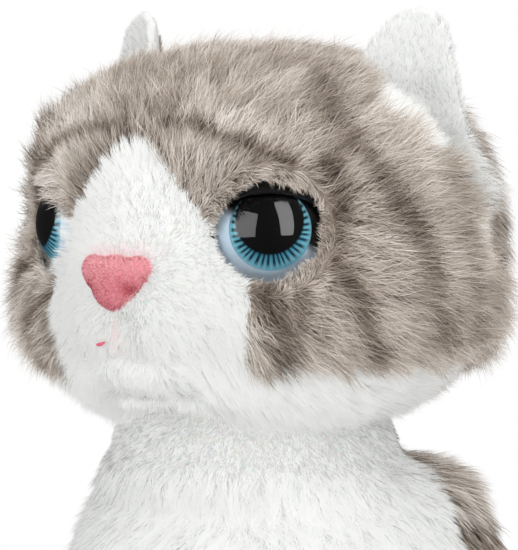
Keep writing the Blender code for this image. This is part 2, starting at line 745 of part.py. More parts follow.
# yoke: hub with two discs, two upright ears for the nod axle, a bore up to 122
neck_yoke = post("neck_yoke", 0, (106.4, 117.5), 10.0, "gear_plastic", 18)
join(neck_yoke,
     post("lower_disc", 0, (103.4, 106.7), 13.0, segments=18),
     post("upper_disc", 0, (116.3, 119.6), 14.0, segments=18),
     box("yoke_ear_left", (9.0, -5, 118.5), (12.0, 5, 133.5)),
     box("yoke_ear_right", (-12.0, -5, 118.5), (-9.0, 5, 133.5)))
drill(neck_yoke, nod_bore(), post("yoke_bore", 0, (90, 122.0), 4.0, segments=18))
nod_axle = cross_rod("nod_axle", 14, 0, NECK_Z, NOD_AXLE_R, "steel", 16)

# post of the head: barrel on the nod axle, column and flange
head_post = cross_rod("head_post", 8.5, 0, NECK_Z, 5.0, "gear_plastic", 20)
join(head_post,
     post("column", 0, (NECK_Z + 2, 182.0), 5.5, segments=20),
     post("flange", 0, (181.0, 184.0), 16.0, segments=28))
drill(head_post, nod_bore())

# deck that carries the yoke and the turn motor
deck_plate = post("deck_plate", 0, (107.0, 109.8), 36.0, "shell_plastic", 28)
drill(deck_plate,
      post("yoke_hole", 0, (100, 120), 10.5, segments=18),
      post("shaft_hole", TURN_Y, (100, 120), 2.4, segments=16))
turn_motor = post("turn_motor", TURN_Y, (82, 106.6), 9.0, "motor_steel")
drill(turn_motor, post("turn_bore", TURN_Y, (99, 120), 1.9, segments=14))

# ----------------------------------------------------------------------- torso
BASE_MID_Y = 12.0             # the foot of the torso sits this far back
CHASSIS_WALL = 2.5
CHASSIS_HOLE_R, COVER_HOLE_R = 17.5, 18.0   # openings at the top of the neck
LINING_GAP = 0.5              # plush inside above the chassis surface
PLUSH_BOTTOM = 2.9
CHASSIS_SEAM_Y, COVER_SEAM_Y = 6.0, 16.0    # front pieces end here
# (r, z) down the outside of the plush, below its dome
TORSO = [(47.2, 134.0), (51.0, 127.5), (55.5, 119.0), (60.0, 107.0), (66.5, 88.0),
         (71.0, 66.0), (74.0, 46.0), (74.5, 30.0), (71.0, 14.0), (63.0, PLUSH_BOTTOM)]
# (r, z) down the outside of the chassis, below its dome
CHASSIS = [(41.3, 119.0), (42.5, 106.0), (45.5, 88.0), (48.0, 68.0), (48.0, 40.0), (48.0, 10.0)]


def dome(radius, hole, low_z):
    """Profile on a sphere round the neck centre, from the hole down to low_z."""
    return arc(radius, math.acos(hole / radius), math.asin((low_z - NECK_Z) / radius),
               5, NECK_Z)


def lean(obj, outside=False):
    """The torso bows back below the shoulders; its outside also sits back
    under the head, from the collar down."""
    for v in obj.data.vertices:
        x, y, z = (c / MM for c in v.co)
        from_axis = math.hypot(x, y)
        inner = BASE_MID_Y * (1 - smoothstep(40, 118, z))
        rear = smoothstep(-0.6, 0.8, y / max(1.0, from_axis))
        outer = BASE_MID_Y + (11.0 * rear - 2.0) * smoothstep(50, 100, z)
        outer *= 1 - smoothstep(122, 138, z)
        wall = 43.5 if z > 95 else 49.0
        is_outer = outside and from_axis > wall and z < 138
        v.co.y += (outer if is_outer else inner) * MM
    obj.data.update()
    return obj


chassis_out = dome(CHASSIS_DOME_R, CHASSIS_HOLE_R, NECK_Z) + CHASSIS
chassis_in = dome(CHASSIS_DOME_R - CHASSIS_WALL, CHASSIS_HOLE_R, NECK_Z)
chassis_in += [(r - CHASSIS_WALL, z) for r, z in CHASSIS]
chassis = lean(revolve("chassis", chassis_out + chassis_in[::-1], "shell_plastic", steps=20))

cover_out = dome(TORSO_DOME_R, COVER_HOLE_R, 139.0) + TORSO
cover_in = dome(CHASSIS_DOME_R + LINING_GAP, COVER_HOLE_R, NECK_Z)
cover_in += [(r + LINING_GAP, z) for r, z in CHASSIS[:-1]] + [(48.5, PLUSH_BOTTOM)]
torso_cover = lean(revolve("torso_cover", cover_out + cover_in[::-1], "tabby_plush", steps=24),
                   True)

# whole torso, a little oversize: trims the legs to its surface
solid_profile = [(0.0, NECK_Z + TORSO_DOME_R + 0.35)]
solid_profile += [(r + 0.35, z + 0.2) for r, z in dome(TORSO_DOME_R, 12.0, 139.0)]
solid_profile += [(r + 0.4, z) for r, z in TORSO[:-1]]
solid_profile += [(63.4, 2.6), (63.4, -0.5), (0.0, -0.5)]
torso_solid = lean(revolve("torso_solid", solid_profile, steps=24, closed=False), True)

# tail socket, slots for the tail sector, well for its shaft
sock_t = ball("sock_t", TAIL, 13.6, segments=20, rings=12)
slot_t = mid_box("slot_t", 24.5, (40, 79), (42.0, 50.0))
slot_u = mid_box("slot_u", 9, (70, 82.6), (42.0, 50.0))
well_t = post("well_t", TAIL_Y - 0.6, (20, 52.5), 4.4, segments=18)
cut(torso_cover, sock_t, slot_t, slot_u, well_t)
cut(chassis, slot_t)


def front_and_rear(source, seam_y, pieces):
    """Split source at seam_y; pieces are (name, cutter name, material)."""
    ranges = ((-REACH, seam_y), (seam_y + GAP, 160))
    made = []
    for (name, region_name, mat), y_range in zip(pieces, ranges):
        region = mid_box(region_name, REACH, y_range, (-10, 200))
        made.append(piece_of(source, name, region, mat))
    discard(source)
    return made


chassis_front, chassis_rear = front_and_rear(
    chassis, CHASSIS_SEAM_Y,
    (("chassis_front", "cf", "shell_plastic"), ("chassis_rear", "cr", "shell_plastic")))
front_and_rear(
    torso_cover, COVER_SEAM_Y,
    (("belly_cover", "pf", "white_plush"), ("back_cover", "pr", "tabby_plush")))

# ----------------------------------------------------------------- back button
BACK_BUTTON_Z = 92


def back_rod(name, y_range, radius, mat=None, segments=24):
    """Cylinder along Y at the back button's height."""
    return cylinder(name, (0, y_range[0], BACK_BUTTON_Z), (0, y_range[1], BACK_BUTTON_Z),
                    radius, mat, segments)


cut(chassis_rear, back_rod("bb_hole", (38, 60), 8.4, segments=22))
# disc and stem under the plush
back_button = back_rod("back_button", (42.6, 44.6), 7.8, "gear_plastic", 22)
join(back_button, back_rod("back_stem", (38.6, 43.2), 2.6, segments=14))

# ------------------------------------------------------------------------ base
CELL_HALF = 26.4              # half width of the room for the cells
CELL_Y = (16.0, 45.3)         # front and rear of that room
DOOR_SCREW_Y = 13.4
door_open = mid_box("door_open", 30.2, (9.6, 50.4), (-5, 20))
cell_open = mid_box("cell_open", CELL_HALF, CELL_Y, (-5, 20))
screw_open = post("screw_open", DOOR_SCREW_Y, (-5, 20), 1.9, segments=14)
sw_open = mid_box("sw_open", 8, (-24, -16), (-5, 20))

# cloth panel below, plastic plate above it
base_panel = post("base_panel", BASE_MID_Y, (0, 2.5), 62.6, "base_cloth", 32)
cut(base_panel, door_open, sw_open)
base_plate = post("base_plate", BASE_MID_Y, (2.9, 9.4), 47.6, "shell_plastic", 28)
cut(base_plate, cell_open, screw_open, sw_open)

# --------------------------------------------------------------------- battery
CELL_R, CELL_TIP_R = 7.0, 2.6
CELL_Z = 17.4
CELL_AXES_Y = (23.3, 37.9)

# box open at its underside
battery_box = mid_box("battery_box", CELL_HALF + 2.0, (14.2, 47.1), (9.7, 27.4),
                      "shell_plastic")
drill(battery_box, mid_box("cell_room", CELL_HALF, CELL_Y, (0, 25.4)))

# two cells, one behind the other, with their tips to the left
for number, y in enumerate(CELL_AXES_Y, 1):
    cell = cylinder("battery_%d" % number, (-23.5, y, CELL_Z), (24.5, y, CELL_Z), CELL_R,
                    "cell", 18)
    join(cell, cylinder("tip", (24.0, y, CELL_Z), (25.6, y, CELL_Z), CELL_TIP_R, segments=12))

# door with two ribs on its upper face and one screw at its front edge
battery_door = mid_box("battery_door", 29.6, (10.1, 49.8), (0.8, 2.6), "shell_plastic")
join(battery_door,
     box("rib_right", (-20, 20, 2.0), (-17, 40, 5.6)),
     box("rib_left", (17, 20, 2.0), (20, 40, 5.6)))
drill(battery_door, post("screw_hole", DOOR_SCREW_Y, (-2, 8), 1.9, segments=14))
door_screw = post("door_screw", DOOR_SCREW_Y, (0.9, 8.0), 1.5, "steel", 12)

# ---------------------------------------------------------------- power switch
# hollow body on the plate, sliding knob
switch_body = mid_box("switch_body", 11, (-26.0, -14.0), (9.8, 16.5), "black_plastic")
drill(switch_body, mid_box("switch_room", 7.5, (-22.5, -17.5), (6, 14.5)))
power_switch = mid_box("power_switch", 3.6, (-22.6, -17.4), (0.9, 6.6), "black_plastic")
join(power_switch, mid_box("knob_stem", 3.0, (-21.8, -18.2), (5, 12.5)))

# ----------------------------------------------------------------- electronics
BOARD_FRONT_Y, BOARD_BACK_Y = -12.0, -10.4
CHIP_Y = -10.9                # chips start inside the board
# chips on the rear face: x range, z range, rear y
CHIPS = [((-8, 8), (62, 78), -8.4), ((-20, -13), (50, 58), -6.4), ((13, 21), (80, 88), -7.0)]
circuit_board = mid_box("circuit_board", 26, (BOARD_FRONT_Y, BOARD_BACK_Y), (46, 92), "circuit")
for (x0, x1), (z0, z1), rear_y in CHIPS:
    join(circuit_board, box("chip", (x0, CHIP_Y, z0), (x1, rear_y, z1)))

# speaker in the chest, facing forwards: (r, distance forwards)
SPEAKER = [(0.0, 9.6), (6.0, 9.4), (14.4, 10.4), (15.4, 10.4), (15.4, 8.6), (10.5, 3.0),
           (10.5, -5.0), (0.0, -5.0)]
speaker = revolve("speaker", SPEAKER, "black_plastic", steps=28, closed=False)
speaker.data.transform(z_towards((0, -24.0, 76), Vector((0, -1, 0))))

# ------------------------------------------------------------------------ tail
TAIL_TEETH, PINION_TEETH = 56, 10
TAIL_MODULE = 1.0
PINION_Y = TAIL_Y - ((TAIL_TEETH + PINION_TEETH) / 2 * TAIL_MODULE + CENTRE_SLACK)
SECTOR_HALF = math.radians(29)    # half angle of the toothed sector
TAIL_ROOT_R, TAIL_TIP_R = 12.4, 9.9
# x, y, z, radius from the root round to the tip
TAIL_STATIONS = [(0, TAIL_Y + 3, 26, 10.0), (1, 104, 24, 11.0), (18, 128, 19.5, 12.5),
                 (46, 139, 15.5, 13.0), (74, 131, 14.5, 10.5)]


def tail_sector():
    """Outline of the forward teeth about the pivot, closed by a short hub."""
    teeth = []
    for x, y in gear_outline(TAIL_TEETH, TAIL_MODULE, -math.pi / 2, TAIL_Y):
        angle = math.atan2(y - TAIL_Y, x) + math.pi / 2
        if abs(angle) < SECTOR_HALF:
            teeth.append((angle, (x, y)))
    teeth.sort(key=lambda entry: entry[0])
    hub = [(2.6, TAIL_Y), (2.6, TAIL_Y + 1.5), (-2.6, TAIL_Y + 1.5), (-2.6, TAIL_Y)]
    return [point for _, point in teeth] + hub


# sector on an upright shaft, with a spine back into the tail
tail_arm = plate("tail_arm", tail_sector(), (44.0, 47.6), "gear_plastic")
join(tail_arm,
     post("tail_shaft", TAIL_Y, (20, 51.5), 3.0, segments=18),
     cylinder("spine", TAIL, (0, TAIL_Y + 26, TAIL_Z - 1), 2.6, segments=14))

pinion_outline = gear_outline(PINION_TEETH, TAIL_MODULE, math.pi / 2 + math.pi / PINION_TEETH,
                              PINION_Y)
tail_pinion = plate("tail_pinion", pinion_outline, (44.2, 47.4), "gear_plastic")
join(tail_pinion, post("pinion_shaft", PINION_Y, (46.5, 54), 1.0, segments=12))
tail_motor = post("tail_motor", PINION_Y, (50.4, 70), 5.4, "motor_steel", 18)
drill(tail_motor, post("motor_bore", PINION_Y, (40, 56), 1.4, segments=12))

# plush tail with round ends, bored for the spine and the shaft
tail_cover = tube("tail_cover", TAIL_STATIONS, "tabby_plush")
join(tail_cover,
     ball("tail_root", TAIL, TAIL_ROOT_R, segments=16, rings=8),
     ball("tail_tip", (76.5, 129.5, 14.5), TAIL_TIP_R, segments=14, rings=8))
spine_bore = cylinder("spine_bore", (0, TAIL_Y - 0.01, TAIL_Z), (0, TAIL_Y + 27, TAIL_Z - 1),
                      3.2, segments=14)
join(spine_bore, post("tail_shaft_bore", TAIL_Y, (10, 45), 3.5, segments=18))
drill(tail_cover, spine_bore)

# ------------------------------------------------------------------------ legs
# stations are x, y, z, radius from the body to the paw;
# balls are (centre, radius, scale) and fill out the haunch and the paw
FRONT_LEG = [(31, -38, 84, 15.5), (31.5, -56, 52, 16.0), (31.5, -63, 16, 16.0)]
FRONT_BALLS = [((31.5, -70, 15), 17.0, (1.0, 1.25, 0.9))]
HIND_LEG = [(62, 30, 34, 22.0), (67, -10, 16, 16.5), (66, -46, 14, 13.5)]
HIND_BALLS = [((62, 26, 34), 34.0, (0.72, 1.1, 0.96)),
              ((66.5, -56, 13.5), 15.5, (1.0, 1.2, 0.9))]
floor_cut = mid_box("floor_cut", 200, (-200, 200), (-60, 0.2))


def leg(name, stations, balls, mat):
    """Limb with a flat underside, trimmed to the torso."""
    limb = tube(name, stations, mat)
    for centre, radius, scale in balls:
        join(limb, ball("leg_ball", centre, radius, None, 14, 8, scale))
    return cut(limb, floor_cut, torso_solid)


mirror_to_right(leg("front_leg_left", FRONT_LEG, FRONT_BALLS, "white_plush"))
mirror_to_right(leg("hind_leg_left", HIND_LEG, HIND_BALLS, "tabby_plush"))

# ---------------------------------------------------------------- axis origins
JAW_HINGE = (0, JAW_Y, JAW_Z)
NECK = (0, 0, NECK_Z)
DOOR_EDGE = (0, 49.0, 1.7)    # rear edge of the battery door
ORIGINS = {
    "eyelid_left": EYE, "eyelid_right": opposite(EYE),
    "jaw_lever": JAW_HINGE, "chin_cover": JAW_HINGE, "tongue": JAW_HINGE,
    "neck_yoke": NECK, "neck_gear": NECK, "nod_axle": NECK,
    "turn_pinion": (0, TURN_Y, 110.6), "tail_pinion": (0, PINION_Y, 44.2),
    "tail_arm": TAIL, "tail_cover": TAIL,
    "battery_door": DOOR_EDGE, "door_screw": DOOR_EDGE,
    "power_switch": (0, -20, 3), "blink_slider": (0, BLINK_Y, 190),
    "crown_button": (0, 0, 253), "back_button": (0, 46, BACK_BUTTON_Z),
}
for name, point in ORIGINS.items():
    origin = Vector(point) * MM
    moved = COL.objects[name]
    moved.data.transform(Matrix.Translation(-origin))
    moved.location = origin

# --------------------------------------------------------------------- shading
SHARP_ANGLE = math.radians(35)
for obj in COL.objects:
    obj.data.shade_smooth()
    obj.data.set_sharp_from_angle(angle=SHARP_ANGLE)
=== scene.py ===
"""Plush tabby cat with a white face and chest, a nodding head, blinking eyes and a moving jaw.

The cat sits on the floor at z = 0 and faces -Y, so its left is +X. Shapes are worked out in
millimetres and become metres in make_piece. Camera, lamps and floor are in metres.
"""
import json
import math

import bpy
import numpy as np
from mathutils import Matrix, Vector

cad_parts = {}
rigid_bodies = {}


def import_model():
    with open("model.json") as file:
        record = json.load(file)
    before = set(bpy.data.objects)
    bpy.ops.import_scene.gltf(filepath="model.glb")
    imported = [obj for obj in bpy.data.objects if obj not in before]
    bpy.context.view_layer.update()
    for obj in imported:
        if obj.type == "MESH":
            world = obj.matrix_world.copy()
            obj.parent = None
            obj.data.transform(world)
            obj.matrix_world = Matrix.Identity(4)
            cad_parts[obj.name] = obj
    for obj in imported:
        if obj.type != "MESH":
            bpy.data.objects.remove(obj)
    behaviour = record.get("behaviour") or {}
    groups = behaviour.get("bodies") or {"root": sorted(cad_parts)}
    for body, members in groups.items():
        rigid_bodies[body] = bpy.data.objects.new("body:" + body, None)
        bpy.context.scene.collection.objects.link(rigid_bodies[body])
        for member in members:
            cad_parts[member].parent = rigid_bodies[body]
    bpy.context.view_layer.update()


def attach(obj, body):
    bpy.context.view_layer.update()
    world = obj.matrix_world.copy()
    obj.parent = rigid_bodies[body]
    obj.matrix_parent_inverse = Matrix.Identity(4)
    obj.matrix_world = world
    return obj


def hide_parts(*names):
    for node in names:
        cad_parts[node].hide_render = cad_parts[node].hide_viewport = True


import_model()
MM = 0.001
FUR_DENSITY = 1.0
looks = bpy.data.collections.new("looks")
bpy.context.scene.collection.children.link(looks)

UP = np.array([0.0, 0.0, 1.0])
MIRROR = np.array([-1.0, 1.0, 1.0])
SIDES = {"left": np.ones(3), "right": MIRROR}           # factors that place a left-hand shape


# --- Small maths

def ease(start, end, x):
    """Smooth step from 0 at start to 1 at end."""
    t = np.clip((x - start) / (end - start), 0.0, 1.0)
    return t * t * (3 - 2 * t)


def hump(u, u_size, v, v_size, u_power=2, v_power=2):
    """Soft bump of height 1 at u = v = 0; a higher power gives a flatter top."""
    return np.exp(-(u / u_size) ** u_power - (v / v_size) ** v_power)


def mix(first, second, amount):
    return first * (1 - amount[..., None]) + second * amount[..., None]


def unit(v):
    return v / np.maximum(np.linalg.norm(v, axis=-1, keepdims=True), 1e-9)


def hash3(cells, seed):
    """Repeatable value in 0..1 for whole-number lattice points."""
    i, j, k = (cells[..., axis].astype(np.int64) for axis in range(3))
    n = (i * 73856093) ^ (j * 19349663) ^ (k * 83492791)
    n = (n + seed * 2654435761) & 0xFFFFFFFF
    n = ((n ^ (n >> 15)) * 2246822519) & 0xFFFFFFFF
    n = ((n ^ (n >> 13)) * 3266489917) & 0xFFFFFFFF
    n = n ^ (n >> 16)
    return (n & 0xFFFFFF).astype(np.float64) / float(0xFFFFFF)


def noise(points, scale, seed):
    """Smooth noise, about -1..1; scale is the size of its features."""
    lattice = points / scale
    cell = np.floor(lattice)
    part = lattice - cell
    part = part * part * (3 - 2 * part)
    total = 0.0
    for corner in np.ndindex(2, 2, 2):
        share = np.where(corner, part, 1 - part)
        share = share[..., 0] * share[..., 1] * share[..., 2]
        total = total + share * hash3(cell + np.array(corner), seed)
    return total * 2 - 1


def noise3(points, scale, seed):
    return np.stack([noise(points, scale, seed + step) for step in (0, 17, 31)], -1)


def catmull(stations, per, closed=True):
    """Smooth curve through the stations, with per points to each span."""
    stations = np.array(stations, float)
    n = len(stations)
    curve = []
    for i in range(n if closed else n - 1):
        a, b, c, d = (stations[(i + k) % n if closed else min(max(i + k, 0), n - 1)]
                      for k in (-1, 0, 1, 2))
        for s in np.arange(per) / per:
            curve.append(0.5 * ((2 * b) + (-a + c) * s + (2 * a - 5 * b + 4 * c - d) * s * s +
                                (-a + 3 * b - 3 * c + d) * s ** 3))
    if not closed:
        curve.append(stations[-1])
    return np.array(curve)


# --- Materials

def srgb(code):
    channels = [int(code[i:i + 2], 16) / 255 for i in (1, 3, 5)]
    return tuple(c / 12.92 if c <= 0.04045 else ((c + 0.055) / 1.055) ** 2.4 for c in channels)


def set_inputs(node, **values):
    """Set inputs by name, with underscores for spaces."""
    for key, value in values.items():
        node.inputs[key.replace("_", " ")].default_value = value


def add_node(tree, kind, **values):
    node = tree.nodes.new("ShaderNode" + kind)
    set_inputs(node, **values)
    return node


def new_material(name):
    """Material, its node tree and its main shader."""
    material = bpy.data.materials.new(name)
    material.use_nodes = True
    tree = material.node_tree
    return material, tree, tree.nodes["Principled BSDF"]


def mat_plain(name, colour, rough, specular, **extra):
    material, _, shader = new_material(name)
    set_inputs(shader, Base_Color=(*colour, 1), Roughness=rough, Specular_IOR_Level=specular,
               **extra)
    material.diffuse_color = (*colour, 1)
    return material


def add_tint(tree):
    """Node that reads the colour stored on the mesh."""
    tint = add_node(tree, "Attribute")
    tint.attribute_name = "tint"
    return tint


def mat_skin(name, rough=0.95, sheen=0.0):
    """Fur backing: colour from the mesh, broken up by fine noise."""
    material, tree, shader = new_material(name)
    tint = add_tint(tree)
    coords = add_node(tree, "TexCoord")
    grain = add_node(tree, "TexNoise", Scale=900, Detail=3)
    darken = add_node(tree, "Mix")
    darken.data_type = 'RGBA'
    darken.blend_type = 'MULTIPLY'
    darken.inputs[0].default_value = 0.35               # share of the grain
    link = tree.links.new
    link(coords.outputs["Object"], grain.inputs["Vector"])
    link(tint.outputs["Color"], darken.inputs[6])
    link(grain.outputs["Color"], darken.inputs[7])
    link(darken.outputs[2], shader.inputs["Base Color"])
    set_inputs(shader, Roughness=rough, Specular_IOR_Level=0.1, Sheen_Weight=sheen)
    bump = add_node(tree, "Bump", Strength=0.4, Distance=0.0006)
    link(grain.outputs["Fac"], bump.inputs["Height"])
    link(bump.outputs["Normal"], shader.inputs["Normal"])
    return material


def mat_eye(name):
    """Matt eye paint coloured by the mesh, with a faint painted glow in that colour that lightens
    the eye in its shaded socket.
    """
    material, tree, shader = new_material(name)
    tint = add_tint(tree)
    tree.links.new(tint.outputs["Color"], shader.inputs["Base Color"])
    set_inputs(shader, Roughness=0.6, Coat_Weight=0.0, Coat_Roughness=0.03,
               Specular_IOR_Level=0.1, Emission_Strength=0.14)
    tree.links.new(tint.outputs["Color"], shader.inputs["Emission Color"])
    return material


def mat_lens(name):
    """Clear shell that only adds reflections."""
    material, tree, _ = new_material(name)
    tree.nodes.clear()
    output = add_node(tree, "OutputMaterial")
    clear = add_node(tree, "BsdfTransparent")
    gloss = add_node(tree, "BsdfGlossy", Roughness=0.02)
    fresnel = add_node(tree, "Fresnel", IOR=1.8)
    blend = add_node(tree, "MixShader")
    for slot, source in enumerate((fresnel, clear, gloss)):
        tree.links.new(source.outputs[0], blend.inputs[slot])
    tree.links.new(blend.outputs[0], output.inputs[0])
    return material


def mat_part(name, colour, rough, metallic, grain=0.08):
    """Moulded or metal finish with fine grain in its roughness."""
    material, tree, shader = new_material(name)
    set_inputs(shader, Base_Color=(*colour, 1), Metallic=metallic, Roughness=rough)
    coords = add_node(tree, "TexCoord")
    speckle = add_node(tree, "TexNoise", Scale=400)
    spread = add_node(tree, "MapRange", To_Min=rough - grain, To_Max=rough + grain)
    tree.links.new(coords.outputs["Object"], speckle.inputs["Vector"])
    tree.links.new(speckle.outputs["Fac"], spread.inputs["Value"])
    tree.links.new(spread.outputs["Result"], shader.inputs["Roughness"])
    return material


# Fur tones, each from dark to pale
TABBY = [(0.112, 0.083, 0.064), (0.172, 0.132, 0.104), (0.240, 0.190, 0.154),
         (0.320, 0.261, 0.215), (0.405, 0.339, 0.284), (0.495, 0.424, 0.362),
         (0.590, 0.516, 0.448), (0.688, 0.613, 0.545), (0.785, 0.718, 0.655),
         (0.875, 0.822, 0.770)]
WHITE = [(0.64, 0.645, 0.635), (0.67, 0.675, 0.665), (0.70, 0.705, 0.695),
         (0.735, 0.74, 0.73), (0.775, 0.78, 0.77)]
BLUSH = [(0.88, 0.62, 0.64), (0.91, 0.75, 0.76), (0.94, 0.86, 0.86)]
PINK = [srgb(code) for code in ("#b84a58", "#cf6674", "#dd808b", "#e699a2", "#efb4ba")]
WHITE_SKIN = np.array(WHITE[3])
# kind of fur: material name, tones, roughness, specular level
PALETTES = {
    "tabby": ("fur_tabby_%d", TABBY, 0.55, 0.25),
    "white": ("fur_white_%d", WHITE, 0.6, 0.2),
    "blush": ("fur_blush_%d", BLUSH, 0.65, 0.15),
    "pink": ("pile_pink_%d", PINK, 0.8, 0.1),
}
fur_mats = []
fur_start = {}                                          # index of each kind's darkest material
for kind, (label, tones, rough, specular) in PALETTES.items():
    fur_start[kind] = len(fur_mats)
    for i, colour in enumerate(tones):
        glow = {}
        if kind == "white":                             # painted glow that stands in for light scattered inside the white pile
            glow = dict(Emission_Color=(*colour, 1.0), Emission_Strength=0.15)
        fur_mats.append(mat_plain(label % i, colour, rough, specular, **glow))
skin_mat = mat_skin("fur_backing")


def tabby_colour(tone):
    """Backing colour under tabby fur of a tone in 0..1."""
    colours = np.array(TABBY)
    place = np.clip(tone * 0.75 + 0.03, 0, 1) * (len(colours) - 1)
    i = np.minimum(place.astype(int), len(colours) - 2)
    return mix(colours[i], colours[i + 1], place - i)


# --- Meshes

def grid_mesh(grid, closed=True):
    """Points and quads for grid[rows, columns, 3]; the columns may close."""
    rows, cols = grid.shape[:2]
    i = np.arange(rows - 1)[:, None] * cols
    j = np.arange(cols if closed else cols - 1)[None, :]
    after = (j + 1) % cols
    quads = np.stack([i + j, i + cols + j, i + cols + after, i + after], -1)
    return grid.reshape(-1, 3), quads.reshape(-1, 4)


def point_normals(points, faces):
    a, b, c, d = (points[faces[:, k]] for k in range(4))
    face_normals = np.cross(c - a, d - b)
    normals = np.zeros_like(points)
    for k in range(4):
        np.add.at(normals, faces[:, k], face_normals)
    return unit(normals)


def turn_out(points, faces, outward):
    """Faces and point normals, reversed if they disagree with outward."""
    normals = point_normals(points, faces)
    if (normals * outward).sum() < 0:
        return faces[:, ::-1], -normals
    return faces, normals


def make_piece(name, points, faces, body, mats, replaces=(), mat_index=None, tint=None,
               normals=None):
    """Object from points and one or more arrays of faces, riding on a moving body."""
    mesh = bpy.data.meshes.new(name)
    points = np.asarray(points, np.float64) * MM
    if not isinstance(faces, list):
        faces = [faces]
    mesh.vertices.add(len(points))
    mesh.vertices.foreach_set("co", points.astype(np.float32).ravel())
    loops = np.concatenate([f.ravel() for f in faces]).astype(np.int32)
    sizes = np.concatenate([np.full(len(f), f.shape[1], np.int32) for f in faces])
    starts = np.concatenate([[0], np.cumsum(sizes)[:-1]]).astype(np.int32)
    mesh.loops.add(len(loops))
    mesh.loops.foreach_set("vertex_index", loops)
    mesh.polygons.add(len(sizes))
    mesh.polygons.foreach_set("loop_start", starts)
    if mat_index is not None:
        mesh.polygons.foreach_set("material_index", np.asarray(mat_index, np.int32))
    mesh.polygons.foreach_set("use_smooth", np.full(len(sizes), True))
    mesh.update(calc_edges=True)
    for material in mats:
        mesh.materials.append(material)
    if tint is not None:
        colours = np.ones((len(points), 4), np.float32)
        colours[:, :3] = tint
        layer = mesh.color_attributes.new("tint", 'FLOAT_COLOR', 'POINT')
        layer.data.foreach_set("color", colours.ravel())
    obj = bpy.data.objects.new(name, mesh)
    looks.objects.link(obj)
    if normals is not None:
        layer = mesh.attributes.new("custom_normal", 'FLOAT_VECTOR', 'POINT')
        layer.data.foreach_set("vector", normals.reshape(-1).astype(np.float32))
    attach(obj, body)
    if replaces:
        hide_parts(*replaces)
    return obj


def submesh(points, faces, keep):
    """Points and faces of the kept faces, and where the points came from."""
    kept = faces[keep]
    ids, inverse = np.unique(kept, return_inverse=True)
    return points[ids], inverse.reshape(kept.shape), ids


def add_wall(points, faces, move):
    """Add a wall along the open edges; move(points) gives its far side."""
    edges = np.concatenate([faces[:, [k, (k + 1) % 4]] for k in range(4)])
    _, inverse, counts = np.unique(np.sort(edges, axis=1), axis=0, return_inverse=True,
                                   return_counts=True)
    rim = edges[counts[inverse.ravel()] == 1]
    ids = np.unique(rim)
    far = np.full(len(points), -1)
    far[ids] = len(points) + np.arange(len(ids))
    wall = np.stack([rim[:, 1], rim[:, 0], far[rim[:, 0]], far[rim[:, 1]]], -1)
    return np.concatenate([points, move(points[ids])]), np.concatenate([faces, wall])


# --- Fur tools

STRANDS_LIMIT = 190000                                  # most triangles in one fur object
LIFT_SPREAD = 0.2                                       # spread of the lift between clumps
ROLL = 0.6                                              # spread of the twist about a strand


def scatter(points, faces, normals, density, rng, weight=1.0):
    """Random points on the faces, density per square mm, and their normals."""
    a, b, c, d = (points[faces[:, k]] for k in range(4))
    area = np.linalg.norm(np.cross(c - a, d - b), axis=1) / 2
    count = int((area * weight).sum() * density * FUR_DENSITY)
    half = np.linalg.norm(np.cross(b - a, c - a), axis=1) / 2
    area = half + np.linalg.norm(np.cross(c - a, d - a), axis=1) / 2
    reach = np.cumsum(area * weight)
    face = np.searchsorted(reach, rng.random(count) * reach[-1])
    face = np.minimum(face, len(faces) - 1)
    second = rng.random(count) * area[face] > half[face]
    r1, r2 = rng.random(count), rng.random(count)
    fold = r1 + r2 > 1
    r1[fold], r2[fold] = 1 - r1[fold], 1 - r2[fold]
    corners = (faces[face, 0], np.where(second, faces[face, 2], faces[face, 1]),
               np.where(second, faces[face, 3], faces[face, 2]))
    shares = [share[:, None] for share in (1 - r1 - r2, r1, r2)]

    def blend(values):
        first, middle, last = (values[i] * share for i, share in zip(corners, shares))
        return first + middle + last
    return blend(points), unit(blend(normals))


def clumps(points, size, seed):
    """Nearest jittered lattice point: its place and its cell."""
    base = np.floor(points / size)
    best = np.full(len(points), 1e18)
    centres = np.zeros_like(points)
    cells = np.zeros_like(points)
    for corner in np.ndindex(3, 3, 3):
        cell = base + (np.array(corner) - 1)
        jitter = np.stack([hash3(cell, seed + k) for k in range(3)], -1)
        centre = (cell + 0.15 + 0.7 * jitter) * size
        gap = ((centre - points) ** 2).sum(1)
        nearer = gap < best
        best[nearer] = gap[nearer]
        centres[nearer] = centre[nearer]
        cells[nearer] = cell[nearer]
    return centres, cells


def comb(normals, field):
    """Unit flow along the surface nearest to the field."""
    return unit(field - (field * normals).sum(1)[:, None] * normals)


